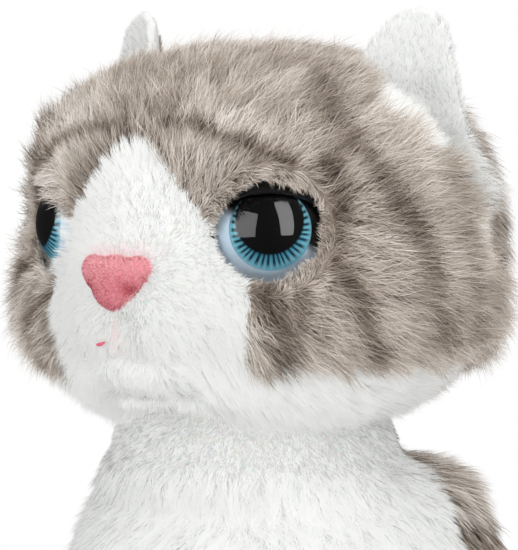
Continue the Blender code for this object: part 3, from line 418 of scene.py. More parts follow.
def strands(name, body, slot, kind, roots, normals, nap, length, tone, *, seed, lift, shade,
            width, clump, wild, segs=4, pull=0.45, tone_var=0.10, droop=0.0, soft=0.75,
            wave=0.18):
    """Tapered ribbons of fur, in pieces small enough to export whole.

    nap: direction along the skin; tone: 0..1 per root, or a function of points
    lift, shade: (root, tip) angle off the skin, and tone added: painted shade at the root, painted
    highlight at the tip
    clump, pull, wild: clump size, how far tips gather into it, spread of direction
    soft: share of the skin's normal in the shading
    """
    rng = np.random.default_rng(seed)
    n = len(roots)
    centres, cells = clumps(roots, clump, seed)
    traits = [hash3(cells, seed + 40 + k) for k in range(5)]
    across = unit(np.cross(normals, nap))
    swing = (traits[0] - 0.5) * 2 * wild + rng.normal(0, wild * 0.35, n)
    nap = unit(nap * np.cos(swing)[:, None] + across * np.sin(swing)[:, None])
    length = length * (0.82 + 0.30 * traits[1]) * (0.75 + 0.4 * rng.random(n))
    lift_root = np.clip(lift[0] + (traits[2] - 0.5) * 2 * LIFT_SPREAD + rng.normal(0, 0.12, n),
                        0.12, 1.4)
    lift_tip = lift[1] + (traits[3] - 0.5) * LIFT_SPREAD + rng.normal(0, 0.10, n)
    to_centre = centres - roots
    to_centre = to_centre - (to_centre * normals).sum(1)[:, None] * normals
    bend = rng.normal(0, 0.10, n)
    phase = rng.random(n) * 6.3
    spine = [roots - normals * 0.3]
    current = roots.copy()
    for k in range(segs):
        s = (k + 0.5) / segs
        angle = lift_root * (1 - s) + lift_tip * s
        curl = wave * np.sin(phase + 4.2 * s * np.pi / 2)
        step = nap * np.cos(angle)[:, None] + normals * np.sin(angle)[:, None] + \
            across * (bend * s * 2 + curl)[:, None]
        step[:, 2] -= droop * s
        current = current + unit(step) * (length / segs)[:, None]
        spine.append(current)
    for k in range(1, segs + 1):
        spine[k] = spine[k] + to_centre * (pull * (k / segs) ** 1.3)
    spine = np.stack(spine, 1)                          # strand, station, xyz

    along = np.gradient(spine, axis=1)
    roll = rng.normal(0, ROLL, n)[:, None, None]
    side = unit(np.cross(along, normals[:, None, :]))
    along = unit(along)
    side = side * np.cos(roll) + np.cross(along, side) * np.sin(roll)
    face = np.cross(along, side)
    sign = np.sign((face * normals[:, None, :]).sum(-1, keepdims=True) + 1e-9)
    shading = unit(normals[:, None, :] * soft + unit(face * sign) * (1 - soft))
    side = -side * sign[:, :1]
    stations = np.linspace(0, 1, segs + 1)
    widths = width * (0.8 + 0.4 * rng.random(n))[:, None] * (1 - stations[None, :] ** 1.7 * 0.92)
    left, right = (spine - side * widths[..., None] / 2, spine + side * widths[..., None] / 2)

    if callable(tone):
        middles = 0.5 * (spine[:, 1:] + spine[:, :-1])
        tone = tone(middles.reshape(-1, 3)).reshape(n, segs)
    else:
        tone = tone[:, None]
    clump_var = tone_var * (2.2 if kind == "tabby" else 1)
    # painted light along each strand: painted shade towards the root, painted highlight towards
    # the tip
    root, tip = shade
    tone = tone + (rng.normal(0, tone_var, n) + (traits[4] - 0.5) * clump_var)[:, None] + \
        (root + (tip - root) * ((np.arange(segs) + 0.5) / segs) ** 1.2)[None, :]
    last = len(PALETTES[kind][1]) - 1
    mat_ids = fur_start[kind] + np.clip(np.rint(tone * last), 0, last).astype(int)

    parts = max(1, math.ceil(n / (STRANDS_LIMIT // (2 * segs - 1))))
    order = np.arange(n)
    if parts > 1:
        order = np.argsort(np.arctan2(roots[:, 0], -roots[:, 1]), kind="stable")
    for part in range(parts):
        chosen = order[part * n // parts:(part + 1) * n // parts]
        m = len(chosen)
        # two points at each station and one at the tip
        points = np.stack([left[chosen], right[chosen]], 2).reshape(m, 2 * segs + 2, 3)[:, :-1]
        points[:, -1] = spine[chosen, segs]
        points[..., 2] = np.maximum(points[..., 2], 0.15)
        base = (np.arange(m) * (2 * segs + 1))[:, None]
        quads = np.stack([base + np.array([[2 * k, 2 * k + 1, 2 * k + 3, 2 * k + 2]])
                          for k in range(segs - 1)], 1).reshape(-1, 4)
        tips = base + np.array([[2 * segs - 2, 2 * segs - 1, 2 * segs]])
        ids = mat_ids[chosen]
        ids = np.concatenate([ids[:, :segs - 1].reshape(-1), ids[:, segs - 1]])
        used, local = np.unique(ids, return_inverse=True)
        obj = make_piece("%s_%02d" % (name, part + 1), points.reshape(-1, 3), [quads, tips],
                         body, [fur_mats[k] for k in used], mat_index=local.ravel(),
                         normals=np.repeat(shading[chosen], 2, axis=1)[:, :-1])
        if kind != "tabby":
            obj.visible_shadow = False


# --- Head shape

HEAD_MID = 207.0                                        # height of the widest level
HEAD_RADIUS = 71.0
CROWN_HEIGHT, CROWN_POWER = 53.0, 2.4                   # above that level
JAW_DEPTH = 57.5                                        # below it
NECK = np.array([0.0, 0.0, 128.0])                      # centre of the ball under the head
RECESS_RADIUS = 48.3                                    # hollow for that ball
NOSE = np.array([0.0, -67.0, 194.0])
JAW_Y, JAW_Z = -41.0, 171.0                             # hinge of the jaw
# left eye: centre, outward axis, axis towards its outer corner
EYE = np.array([35.6, -38.2, 210.0])
EYE_YAW = math.radians(38)
EYE_OUT = np.array([math.sin(EYE_YAW), -math.cos(EYE_YAW), 0.0])
EYE_SIDE = np.array([math.cos(EYE_YAW), math.sin(EYE_YAW), 0.0])
EYE_CLEAR = 19.7                                        # skin keeps this far from the centre
HEAD_COLUMNS, HEAD_ROWS = 320, 190


def upper_outer(side, up):
    """1 towards the upper outer corner of an eye, for a direction from its centre."""
    return ease(0.15, 0.8, side) * ease(-0.3, 0.3, up)


def head_surface(turn, tilt):
    """Skin of the head; turn is 0 at the face and grows to its left, tilt runs from
    -pi/2 (bottom) to pi/2 (top)."""
    jaw_power = 3.3 - 0.62 * ease(0.55, -0.1, np.cos(turn))
    level, rise = np.maximum(np.cos(tilt), 0), np.sin(tilt)
    power = np.where(rise >= 0, CROWN_POWER, jaw_power)
    radius = HEAD_RADIUS * level ** (2 / power)
    z = HEAD_MID + np.where(rise >= 0, CROWN_HEIGHT, JAW_DEPTH) * np.sign(rise) * \
        np.abs(rise) ** (2 / power)
    x, y = radius * np.sin(turn), -radius * np.cos(turn)
    above = ease(149, 157, z)                           # leaves the neck opening round
    y = y * (1 + above * (np.where(y < 0, 60.0 / 70, 66.0 / 70) - 1))
    front = ease(0.2, 0.85, np.cos(turn))
    width = np.abs(x)
    muzzle = 8.0 * hump(width, np.where(z > 186, 25.0, 25.0 - 4.5 * ease(186, 168, z)),
                        np.abs(z - 183), np.where(z > 183, 25.0, 23.0), 2.6, 2.6)
    muzzle += 2.2 * hump(x, 11.0, z - 214, 16.0)        # bridge of the nose
    muzzle += 1.6 * hump(width - 12.0, 8.0, z - 180, 9.0)           # pads
    muzzle += 2.2 * hump(x, 15.0, z - 166, 5.5)         # chin
    muzzle -= 1.5 * hump(x, 14.0, z - 173 + 0.12 * width, 2.2)      # mouth
    muzzle -= 6.0 * hump(x, 27.0, z - 155.5, 5.0, 4, 2)             # hollow under the chin
    y = y - above * front * muzzle
    cheek = 3.0 * hump(width - 66, 20.0, z - 186, 24.0) * above
    radius = np.maximum(np.hypot(x, y), 1e-6)
    x, y = x + cheek * x / radius, y + cheek * y / radius
    points = np.stack([x, y, z], -1)
    for flip in SIDES.values():                         # eye sockets
        centre, out = EYE * flip, EYE_OUT * flip
        offset = points - centre
        off_side, off_up = offset @ (EYE_SIDE * flip), offset @ UP
        spread = np.hypot(off_side, off_up)
        side, up = off_side / np.maximum(spread, 1e-6), off_up / np.maximum(spread, 1e-6)
        depth = 2.7 - 5.0 * ease(0.0, 0.8, up) * (1 - 0.8 * upper_outer(side, up))
        depth = depth - 0.5 * ease(0.2, 1.0, -side)
        dent = depth * np.exp(-(spread / 22.0) ** 4) * (offset @ out > 0)
        points = points - dent[..., None] * out
        offset = points - centre
        push = (np.linalg.norm(offset, axis=-1) < EYE_CLEAR) & (spread < 30)
        points = np.where(push[..., None], centre + unit(offset) * EYE_CLEAR, points)
    return points


head_points, head_faces = grid_mesh(head_surface(*np.meshgrid(
    np.linspace(-np.pi, np.pi, HEAD_COLUMNS, endpoint=False),
    -np.pi / 2 + np.pi * np.linspace(0, 1, HEAD_ROWS))))
in_recess = (np.linalg.norm(head_points - NECK, axis=1) < RECESS_RADIUS) & \
    (head_points[:, 2] < 185)
head_faces, _ = turn_out(head_points, head_faces, head_points - np.array([0, 0, HEAD_MID]))

# --- Head markings

# height, half width of the white blaze and muzzle
BLAZE = np.array([(140, 60), (160, 42), (165, 34.0), (170, 33.0), (177, 35.5), (184, 37.0),
                  (190, 37.0), (199, 34.5), (205, 31.0), (212, 26.0), (216, 23.0), (221, 18.0),
                  (229.5, 9.0), (233.5, 3.0), (235, -6), (300, -60.0)]).T
# distance along the side view, lower edge of the white fluff before the ear
EAR_FLUFF = np.array([(30, 290), (33, 260), (34, 247), (46, 241), (58.8, 230), (62.6, 219),
                      (66, 209), (70, 200)]).T
# Stripes seen from the front left quarter, mirrored to the other side:
# points (distance along, height), half width, depth of tone
STRIPES = [
    ([(-25.2, 241.4), (-15.8, 240.8), (-3.2, 236.0), (9.5, 229.7)], 2.6, 0.80),
    ([(-26.8, 258.4), (-7.9, 260.3), (14.2, 260.3), (25.2, 255.9)], 4.0, 0.45),
    ([(-23.7, 262.2), (1.6, 263.8), (23.7, 262.8)], 2.4, 0.40),
    ([(19.9, 254.3), (22.1, 249.6), (28.4, 238.5)], 4.2, 0.80),
    ([(28.4, 238.5), (36.3, 229.1), (45.7, 216.5), (50.5, 210.2)], 3.6, 0.75),
    ([(22.1, 229.1), (25.2, 221.2), (26.2, 213.3)], 4.4, 0.90),
    ([(26.2, 213.3), (24.3, 200.0)], 2.6, 0.60),
    ([(2.2, 189.6), (9.5, 180.2), (10.4, 164.4)], 4.6, 0.80),
    ([(14.2, 189.6), (12.6, 170.7)], 3.0, 0.60),
    ([(28.4, 196.0), (33.1, 186.5), (37.9, 170.7)], 3.9, 0.80),
    ([(47.3, 213.3), (53.6, 199.1), (56.8, 177.0)], 3.9, 0.66),
    ([(58.4, 233.8), (63.1, 218.0), (65.3, 199.1), (66.2, 177.0)], 3.0, 0.50),
    ([(69.4, 219.6), (70.0, 216.5)], 3.6, 0.60),
    ([(74.1, 208.6), (73.2, 186.5)], 2.4, 0.35),
    ([(-31.5, 247.0), (-26.0, 249.5)], 4.0, 0.35),
]
VIEW_X, VIEW_Y = 0.788, 0.616                           # share of |x| and y in the side view


def white_amount(points):
    """1 on the white panels of the head, 0 on tabby."""
    x, y, z = points.T
    wobble = noise(points, 9.0, 5) * 1.6
    front = ease(-0.25, 0.25, -y / np.maximum(np.hypot(x, y), 1e-6))
    blaze = ease(-1.2, 1.2, np.interp(z, *BLAZE) - np.abs(x) + wobble) * (y < -15)
    turn = np.degrees(np.abs(np.arctan2(x, -y)))
    seam = 171.0 + 2.5 * ease(60, 115, turn) - 4.5 * ease(-5, -25, x) * ease(90, 60, turn) + wobble
    band = ease(-1.5, 1.5, seam - z) * (1 - ease(107, 110, turn + 0.8 * wobble))
    # fluff in front of each ear, judged at the fur's surface
    surface = points + 9.0 * unit(points - np.array([0, 5.0, 190.0]))
    along = VIEW_X * np.abs(surface[..., 0]) + VIEW_Y * surface[..., 1]
    width = np.abs(x)
    ahead = (width - 52.0) * 0.5 - (y - 10.0) * 0.866
    fluff = ease(-1.5, 1.5, surface[..., 2] - np.interp(along, *EAR_FLUFF) + 0.8 * wobble) * \
        ease(-6.0, -3.0, ahead) * ease(20, 30, width)
    return np.maximum(np.maximum(blaze * front, band), fluff)


def stripe_depth(along, z):
    deepest = np.zeros_like(along)
    for line, half_width, depth in STRIPES:
        gap = np.full(along.shape, 1e9)
        for (x0, z0), (x1, z1) in zip(line[:-1], line[1:]):
            dx, dz = x1 - x0, z1 - z0
            k = np.clip(((along - x0) * dx + (z - z0) * dz) / (dx * dx + dz * dz), 0, 1)
            gap = np.minimum(gap, (along - x0 - k * dx) ** 2 + (z - z0 - k * dz) ** 2)
        deepest = np.maximum(deepest, depth * np.exp(-gap / (half_width * half_width)))
    return deepest


def tabby_tone(points):
    """0 in a dark stripe, 1 on the palest ground colour."""
    x, y, z = points.T
    turn = np.degrees(np.abs(np.arctan2(x, -y)))
    coarse = noise3(points, 26.0, 3)
    fine = noise3(points, 9.0, 23)
    width = np.abs(x)
    along = VIEW_X * width + VIEW_Y * y + 2.2 * coarse[..., 0] + 1.2 * fine[..., 0]
    height = z + 2.0 * coarse[..., 1] + 1.2 * fine[..., 1]
    front = 1 - ease(108, 132, turn)
    rings = 0.5 + 0.5 * np.cos(2 * np.pi * (z + 5 * coarse[..., 2] + 0.16 * width) / 22.0)
    stripes = np.maximum(stripe_depth(along, height) * front,
                         0.75 * (1 - front) * ease(0.45, 1.0, rings))
    ground = 0.74 + 0.10 * noise(points, 14.0, 8) + 0.10 * noise(points, 5.0, 9)
    # paler patches over the brow and beside the blaze
    pale = 0.22 * hump(along + 8, 11, z - 243, 7)
    pale += 0.16 * hump(along + 10, 7, z - 231, 7)
    pale += 0.10 * hump(along - 45, 12, z - 238, 10)
    pale += 0.14 * ease(-15, -45, x)
    return np.clip((ground + pale * front) * (1 - 0.86 * stripes), 0, 1)


def blush(points):
    """Pink tint of the white fur next to the nose and on the lip."""
    x, y, z = points.T
    tint = 0.75 * hump(x, 11.5, z - 201.0, 3.2, 4, 2)
    tint += 0.55 * hump(x, 1.6, z - 179, 4.5)
    return tint * (y < -50)


# --- Head backing

# painted shade: the walls along the skin's cut edges, into the eye sockets and round the chin, are
# dark grey
WALL_PAINTED_SHADE = 0.12


def jaw_angle(points):
    """Degrees below the forward line through the hinge, taken to the rear."""
    return np.degrees(np.arctan2(JAW_Z - points[..., 2], JAW_Y - points[..., 1]))


def to_hinge(points, pinch):
    """Directions to the jaw's hinge line; pinch also draws them to the middle."""
    x, y, z = points.T
    return unit(np.stack([-x * pinch, JAW_Y - y, JAW_Z - z], -1))


def inward(points):
    """Far side of the skin's edges; round the eyes it follows the eye's sphere."""
    centre = np.array([0, 0, HEAD_MID - 10.0])
    moved = points + unit(centre - points) * 3.0
    for flip in SIDES.values():
        eye = EYE * flip
        near = np.linalg.norm(points - eye, axis=1) < 20.6
        back = points - EYE_OUT * flip * 7.0
        back = eye + unit(back - eye) * 19.75
        moved = np.where(near[:, None], back, moved)
    return moved


head_points = np.where(in_recess[:, None], NECK + unit(head_points - NECK) * RECESS_RADIUS,
                       head_points)
angle = jaw_angle(head_points)
# strip behind the chin, drawn in to clear the moving jaw
strip = (np.abs(head_points[:, 0]) < 15.6) & (angle > 55) & (angle < 74) & \
    (head_points[:, 1] < JAW_Y) & ~in_recess
head_points = head_points + to_hinge(head_points, 0) * (2.6 * strip)[:, None]
on_eye = np.zeros(len(head_points), bool)
for flip in SIDES.values():
    offset = head_points - EYE * flip
    on_eye |= (np.linalg.norm(offset, axis=1) < EYE_CLEAR + 0.02) & (offset @ (EYE_OUT * flip) > 0)
face_mid = head_points[head_faces].mean(1)
eye_hole = on_eye[head_faces].all(1)
face_angle = jaw_angle(face_mid)
chin_faces = (np.abs(face_mid[:, 0]) < 15.0) & (face_angle > 0.5) & (face_angle < 55) & \
    (face_mid[:, 1] < JAW_Y) & ~in_recess[head_faces].any(1)
face_white = white_amount(face_mid)
white_tint = mix(WHITE_SKIN, np.array(BLUSH[1]), blush(head_points))
head_tint = mix(tabby_colour(tabby_tone(head_points)), white_tint, white_amount(head_points))

for name, keep, slot, body, replaced, move in (
        ("head_skin_tabby", ~eye_hole & (face_white <= 0.5) & ~chin_faces, "tabby_plush", "head",
         ("mask_cover", "head_back_cover"), inward),
        ("head_skin_white", ~eye_hole & (face_white > 0.5) & ~chin_faces, "white_plush", "head",
         ("muzzle_cover", "cheek_band"), inward),
        ("chin_skin", chin_faces, "white_plush", "jaw", ("chin_cover",),
         lambda points: points + to_hinge(points, 0.4) * 6.0)):
    points, faces, ids = submesh(head_points, head_faces, keep)
    points, faces = add_wall(points, faces, move)
    # the walls carry the painted shade, the skin its markings
    tint = np.full((len(points), 3), WALL_PAINTED_SHADE)
    tint[:len(ids)] = head_tint[ids]
    make_piece(name, points, faces, body, [skin_mat], replaced, tint=tint)

# --- Head fur

head_normals = point_normals(head_points, head_faces)
furred = ~eye_hole & ~in_recess[head_faces].all(1) & ~chin_faces


def head_scatter(chosen, density, seed):
    return scatter(head_points, head_faces, head_normals, density, np.random.default_rng(seed),
                   chosen.astype(float))


def head_flow(points, normals):
    """Nap of the head: away from the nose, drooping at the cheeks and the back."""
    droop = np.array([0, 0, -0.16]) * ease(235, 190, points[:, 2])[:, None]
    flow = unit(points - NOSE) + droop
    flow = flow + ease(0.0, 40.0, points[:, 1])[:, None] * np.array([0, 0, -0.9])
    return comb(normals, flow + noise3(points, 30.0, 71) * 0.16)


def eye_comb(points, normals, nap, length, rim_length=1.0):
    """Nap and length changed round the eyes: shorter, and laid over their rims."""
    flip = np.where((points[:, 0] < 0)[:, None], MIRROR, 1.0)
    offset = points * flip - EYE
    side, up = offset @ EYE_SIDE, offset @ UP
    spread = np.hypot(side, up)
    side, up = side / np.maximum(spread, 1e-6), up / np.maximum(spread, 1e-6)
    front = offset @ EYE_OUT > -2
    near = ease(34.0, 20.5, spread) * front
    rim = ease(21.0, 17.5, spread) * front
    radial = (EYE_SIDE * side[:, None] + UP * up[:, None]) * flip
    nap = comb(normals, nap * (1 - 0.45 * near)[:, None] +
               radial * (0.36 * near - 1.55 * rim)[:, None])
    away = ease(17.5, 33.0, spread + 5.0 * ease(0.1, 1.0, up))
    length = np.where(front, length * (0.32 + 0.68 * away), length)
    outer = upper_outer(side, up)
    length = length * (1 - rim) + (4.6 + 2.6 * ease(0.0, 0.8, up) * (1 - outer) +
                                   1.2 * ease(0.2, 0.9, -side) - 1.6 * outer) * rim * rim_length
    return nap, length


def head_tabby_fur():
    roots, normals = head_scatter((face_white < 0.55) & furred, 4.7, 11)
    x, y, z = roots.T
    width = np.abs(x)
    length = 12.0 + 2.5 * ease(0, 40, width) + 2.0 * noise(roots, 18.0, 21)
    cheek = ease(30, 62, width) * ease(245, 225, z) * ease(165, 180, z) * (y < 20)
    length = length + 4.5 * cheek - 3.5 * ease(185, 165, z)
    length = length * (1 - 0.35 * ease(0.0, 0.5, white_amount(roots)))
    nap, length = eye_comb(roots, normals, head_flow(roots, normals), length)
    strands("fur_head_tabby", "head", "tabby_plush", "tabby", roots, normals, nap, length,
            lambda points: tabby_tone(points) * 0.86 - 0.06, seed=101, lift=(0.85, 0.36),
            shade=(-0.14, 0.19), width=0.26, clump=3.6, wild=0.48, pull=0.40, tone_var=0.12,
            droop=0.10, soft=0.82)


def head_guard_hairs():
    """Sparse pale hairs standing out of the tabby."""
    roots, normals = head_scatter((face_white < 0.3) & furred, 0.55, 14)
    length = 15.5 - 4.0 * ease(185, 165, roots[:, 2])
    nap, length = eye_comb(roots, normals, head_flow(roots, normals), length)
    strands("fur_head_guard", "head", "tabby_plush", "tabby", roots, normals, nap, length,
            lambda points: tabby_tone(points) * 0.6 + 0.25, seed=105, lift=(0.95, 0.45),
            shade=(-0.2, 0.15), width=0.16, clump=6.0, wild=0.75, segs=5, pull=0.15,
            tone_var=0.2, droop=0.12, wave=0.3)


def head_white_fur():
    roots, normals = head_scatter((face_white > 0.45) & furred, 8.0, 12)
    x, y, z = roots.T
    muzzle = ease(34, 24, np.hypot(x, (z - 190) * 0.8)) * (y < -30)
    length = 7.6 - 3.2 * muzzle - 1.6 * ease(200, 214, z) * (np.abs(x) < 20)
    low = ease(176, 164, z)
    length = length + 2.6 * low * (1 - muzzle)
    nose_gap = np.linalg.norm((roots - NOSE) * np.array([0.8, 0.4, 1.0]), axis=1)
    length = length * (0.55 + 0.45 * ease(9, 20, nose_gap))
    nap, length = eye_comb(roots, normals, head_flow(roots, normals), length, 0.95)
    pink = blush(roots)
    is_pink = np.random.default_rng(5).random(len(roots)) < pink * 1.2
    # tone: painted light makes the fur under the chin paler, against the shade there; the fur
    # above the nose is paler too
    tone = 0.50 + 0.05 * noise(roots, 7.0, 33) + 0.36 * low + 0.38 * ease(195, 210, z)
    for kind, chosen, tone in (("white", ~is_pink, tone), ("blush", is_pink, 0.75 - 0.6 * pink)):
        strands("fur_head_" + kind, "head", "white_plush", kind, roots[chosen], normals[chosen],
                nap[chosen], length[chosen], tone[chosen], seed=102, lift=(0.9, 0.5),
                shade=(-0.09, 0.10), width=0.21, clump=2.6, wild=0.35, segs=3, pull=0.25,
                tone_var=0.07, soft=0.93)


def chin_fur():
    roots, normals = head_scatter(chin_faces, 8.0, 13)
    x = roots[:, 0]
    edge = ease(8.0, 14.5, np.abs(x))
    nap = comb(normals, np.stack([1.3 * np.sign(x) * edge, np.full(len(x), -0.2),
                                  -1.0 + 0.35 * edge], -1))
    strands("fur_chin", "jaw", "white_plush", "white", roots, normals, nap, 5.2 + 3.0 * edge,
            0.66 + 0.05 * noise(roots, 7.0, 33), seed=103, lift=(0.8, 0.35),
            shade=(-0.09, 0.10), width=0.21, clump=2.6, wild=0.5, segs=3, pull=0.25,
            tone_var=0.07, soft=0.93)


head_tabby_fur()
head_guard_hairs()
head_white_fur()
chin_fur()

# --- Eyes

IRIS_SIDE, IRIS_UP = 0.2, 0.4                           # centre of the iris
IRIS_EDGE = 12.3
PAINT_RADIUS = 16.55                                    # sphere the iris is painted on
BALL_RADIUS = 16.8                                      # front of the ball round the iris
BALL_EDGE = 16.6
BALL_BACK_RADIUS = 15.4
DOME_RADIUS = 17.0
LID_INNER, LID_OUTER = 17.85, 19.0
LID_TOP = 124.0                                         # degrees up from the outward axis
LID_HALF_TURN = 74                                      # degrees to each side

lid_mat = mat_plain("lid_black", (0.006, 0.006, 0.007), 0.12, 0.5, Coat_Weight=0.6,
                    Coat_Roughness=0.05)
eye_mat = mat_eye("eye_paint_and_glow")
lens_mat = mat_lens("clear_lens_look")


def eye_colour(side, up):
    """Pale ball, rayed blue iris, large black pupil, dark upper outer ball."""
    spread = np.hypot(side - IRIS_SIDE, up - IRIS_UP)
    angle = np.arctan2(up - IRIS_UP, side - IRIS_SIDE)
    pupil_spread = np.hypot(side + 0.1, up - 3.2)
    light, middle, dark = (np.array(srgb(code)) for code in ("#8ed6e8", "#52abc8", "#173f50"))
    rays = 0.5 + 0.5 * np.cos(38 * angle + 0.9 * np.sin(5 * angle) + 0.6 * np.sin(11 * angle + 1))
    fine_rays = 0.5 + 0.5 * np.cos(76 * angle + 2.2)
    colour = mix(middle, light, ease(7.6, 11.6, spread))
    # place between the pupil (0) and the edge of the iris (1)
    place = np.clip(pupil_spread - 10.1, 0.01, None)
    place = place / (place + np.clip(12.2 - spread, 0.01, None))
    shadow = ease(0.30, 0.80, rays) * (0.92 * ease(0.98, 0.50, place) + 0.06) + 0.10 * fine_rays
    shadow = np.clip(shadow + 0.5 * ease(0.2, 0.0, place), 0, 1)
    colour = mix(colour, dark, shadow)
    # painted shade: the iris darker towards its top, under the lid
    colour = colour * (0.6 + 0.4 * ease(11.0, -2.0, up))[..., None]
    black_side = ease(math.cos(math.radians(98)), math.cos(math.radians(84)),
                      np.cos(angle - math.radians(66)))
    ball = mix(np.array(srgb("#dcecf8")), np.array([0.006, 0.006, 0.007]), black_side)
    colour = mix(colour, ball, ease(12.05, IRIS_EDGE, spread))
    return mix(colour, np.array([0.003, 0.003, 0.004]), ease(10.35, 9.95, pupil_spread))


def lid_radius(tilt):
    """Outer radius of the lid, with a lip and a ridge above its edge."""
    above = np.degrees(tilt) - lid_edge[None, :]
    return LID_OUTER + 0.35 * np.exp(-((above - 1.5) / 2.2) ** 2) + \
        0.32 * np.exp(-((above - 9) / 2.2) ** 2)


# angle of the lid's lower edge at each turn about the eye
lid_turn = np.linspace(-LID_HALF_TURN, LID_HALF_TURN, 90)
lid_edge = 55.0 - 4.0 * ease(0, -60, lid_turn) - 20.0 * ease(5, 66, lid_turn)

for side, flip in SIDES.items():
    centre, out, across = EYE * flip, EYE_OUT * flip, EYE_SIDE * flip
    step = -1 if side == "right" else 1                 # mirrored faces are reversed

    def place(off_out, off_side, off_up):
        return centre + off_out[..., None] * out + off_side[..., None] * across + \
            off_up[..., None] * UP

    def on_sphere(radius, first, last, rows, columns):
        """Rings about the outward axis, first to last in degrees from it."""
        tilt = np.radians(np.linspace(first, last, rows))[:, None]
        turn = np.linspace(0, 2 * np.pi, columns, endpoint=False)[None, :]
        return place(radius * np.cos(tilt), radius * np.sin(tilt) * np.cos(turn),
                     radius * np.sin(tilt) * np.sin(turn))

    def lid_patch(radius, tilt):
        turn = np.radians(lid_turn)[None, :]
        return place(radius * (np.cos(turn) * np.cos(tilt)), radius * np.sin(turn),
                     radius * (np.cos(turn) * np.sin(tilt)))

    # painted iris close under the dome, then the front and back of the ball
    turn = np.linspace(0, 2 * np.pi, 320, endpoint=False)[None, :]
    ring = np.linspace(0.02, 12.24, 62)[:, None]
    off_side, off_up = IRIS_SIDE + ring * np.cos(turn), IRIS_UP + ring * np.sin(turn)
    iris = place(np.sqrt(PAINT_RADIUS ** 2 - off_side ** 2 - off_up ** 2), off_side, off_up)
    ring = np.linspace(IRIS_EDGE, BALL_EDGE, 36)[:, None]
    share = (ring - IRIS_EDGE) / (BALL_EDGE - IRIS_EDGE)
    off_side = IRIS_SIDE * (1 - share) + ring * np.cos(turn)
    off_up = IRIS_UP * (1 - share) + ring * np.sin(turn)
    ball = place(np.sqrt(np.maximum(BALL_RADIUS ** 2 - off_side ** 2 - off_up ** 2, 0)),
                 off_side, off_up)
    points, faces = grid_mesh(np.concatenate(
        [iris, ball, on_sphere(BALL_BACK_RADIUS, 92, 176, 16, 320)]))
    offset = points - centre
    tint = np.where((offset @ out > 0)[:, None], eye_colour(offset @ across, offset @ UP),
                    np.array([0.02, 0.02, 0.02]))
    make_piece("eye_ball_" + side, points, faces[:, ::step], "head", [eye_mat],
               ("eyeball_" + side,), tint=tint)

    points, faces = grid_mesh(on_sphere(DOME_RADIUS, 0.02, 72, 60, 160))
    make_piece("eye_dome_" + side, points, faces[:, ::step], "head", [lens_mat],
               ("eye_lens_" + side,))

    tilt = np.radians(np.linspace(lid_edge, LID_TOP, 70))
    points, faces = add_wall(*grid_mesh(lid_patch(lid_radius(tilt), tilt), False),
                             lambda rim: centre + unit(rim - centre) * LID_INNER)
    inner_points, inner_faces = grid_mesh(lid_patch(LID_INNER, tilt), False)
    faces = np.concatenate([faces, inner_faces[:, ::-1] + len(points)])
    make_piece("lid_shell_" + side, np.concatenate([points, inner_points]), faces[:, ::-step],
               "lid_" + side, [lid_mat])

# --- Nose and mouth

# half outline of the nose pad from the bottom up: x, z
NOSE_HALF = [(0, 185.6), (4.2, 187.0), (8.2, 190.8), (11.6, 195.8), (12.4, 198.8), (10.2, 201.6),
             (5.0, 201.4), (0, 201.9)]
NOSTRIL_X = 7.3
MOUTH = [(-7.4, -68.0, 175.1), (-5.8, -68.9, 175.1), (-4.2, -69.5, 175.5), (-2.6, -69.9, 176.1)]


def nostril(x, z):
    """Depth of painted shade in the nostril hollows, and of the darker groove below them."""
    pits = sum(hump(x - k * NOSTRIL_X, 2.3, z - 192.0, 1.9) for k in (1, -1))
    return np.clip(pits + 0.25 * np.exp(-(x / 3.0) ** 2) * ease(192, 185, z), 0, 1)


def nose_pad():
    ring = catmull(NOSE_HALF + [(-x, z) for x, z in NOSE_HALF[-2:0:-1]], 12)
    middle = np.array([0.0, 195.0])
    rows = []
    for s in np.linspace(0.01, 1, 34):
        x, z = (middle + (ring - middle) * s).T
        y = -66.5 - 6.2 * (1 - s ** 2.6) ** 0.5 - 0.6 * np.exp(-(x / 6) ** 2)
        for k in (1, -1):                               # nostril hollows
            y = y + 1.1 * hump(x - k * NOSTRIL_X, 1.9, z - 192.2, 1.6)
        rows.append(np.stack([x, y, z], -1))
    rows.append(rows[-1] + np.array([0, 7.0, 0]))       # wall into the muzzle
    points, faces = grid_mesh(np.array(rows))
    x, y, z = points.T
    # painted shade in the nostrils; the pad is paler towards its top
    tint = mix(np.array(srgb("#e58e99")), np.array(srgb("#b84a58")), 0.8 * nostril(x, z))
    tint = mix(tint, np.array(srgb("#eeb0b5")), ease(194, 201, z) * 0.45)
    make_piece("nose_pad", points, faces[:, ::-1], "head",
               [mat_skin("pink_velvet", 0.9, sheen=0.5)], ("nose",), tint=tint)

    _, normals = turn_out(points, faces, np.array([0, -1.0, 0]))
    rng = np.random.default_rng(77)
    face_front = (points[faces][:, :, 1].mean(1) < -66.6).astype(float)
    roots, normals = scatter(points, faces, normals, 26, rng, face_front)
    nap = comb(normals, rng.normal(0, 1, roots.shape))
    x, y, z = roots.T
    # pile tone: painted shade in the nostrils, paler towards the top
    tone = 0.72 + 0.30 * ease(193, 201, z) - 0.75 * nostril(x, z) + rng.normal(0, 0.18, len(x))
    strands("nose_pile", "head", "pink_flock", "pink", roots, normals, nap, 0.9, tone, seed=104,
            lift=(1.15, 0.9), shade=(-0.1, 0.08), width=0.16, clump=1.2, wild=1.5, segs=2,
            pull=0.2, tone_var=0.16, soft=0.8)


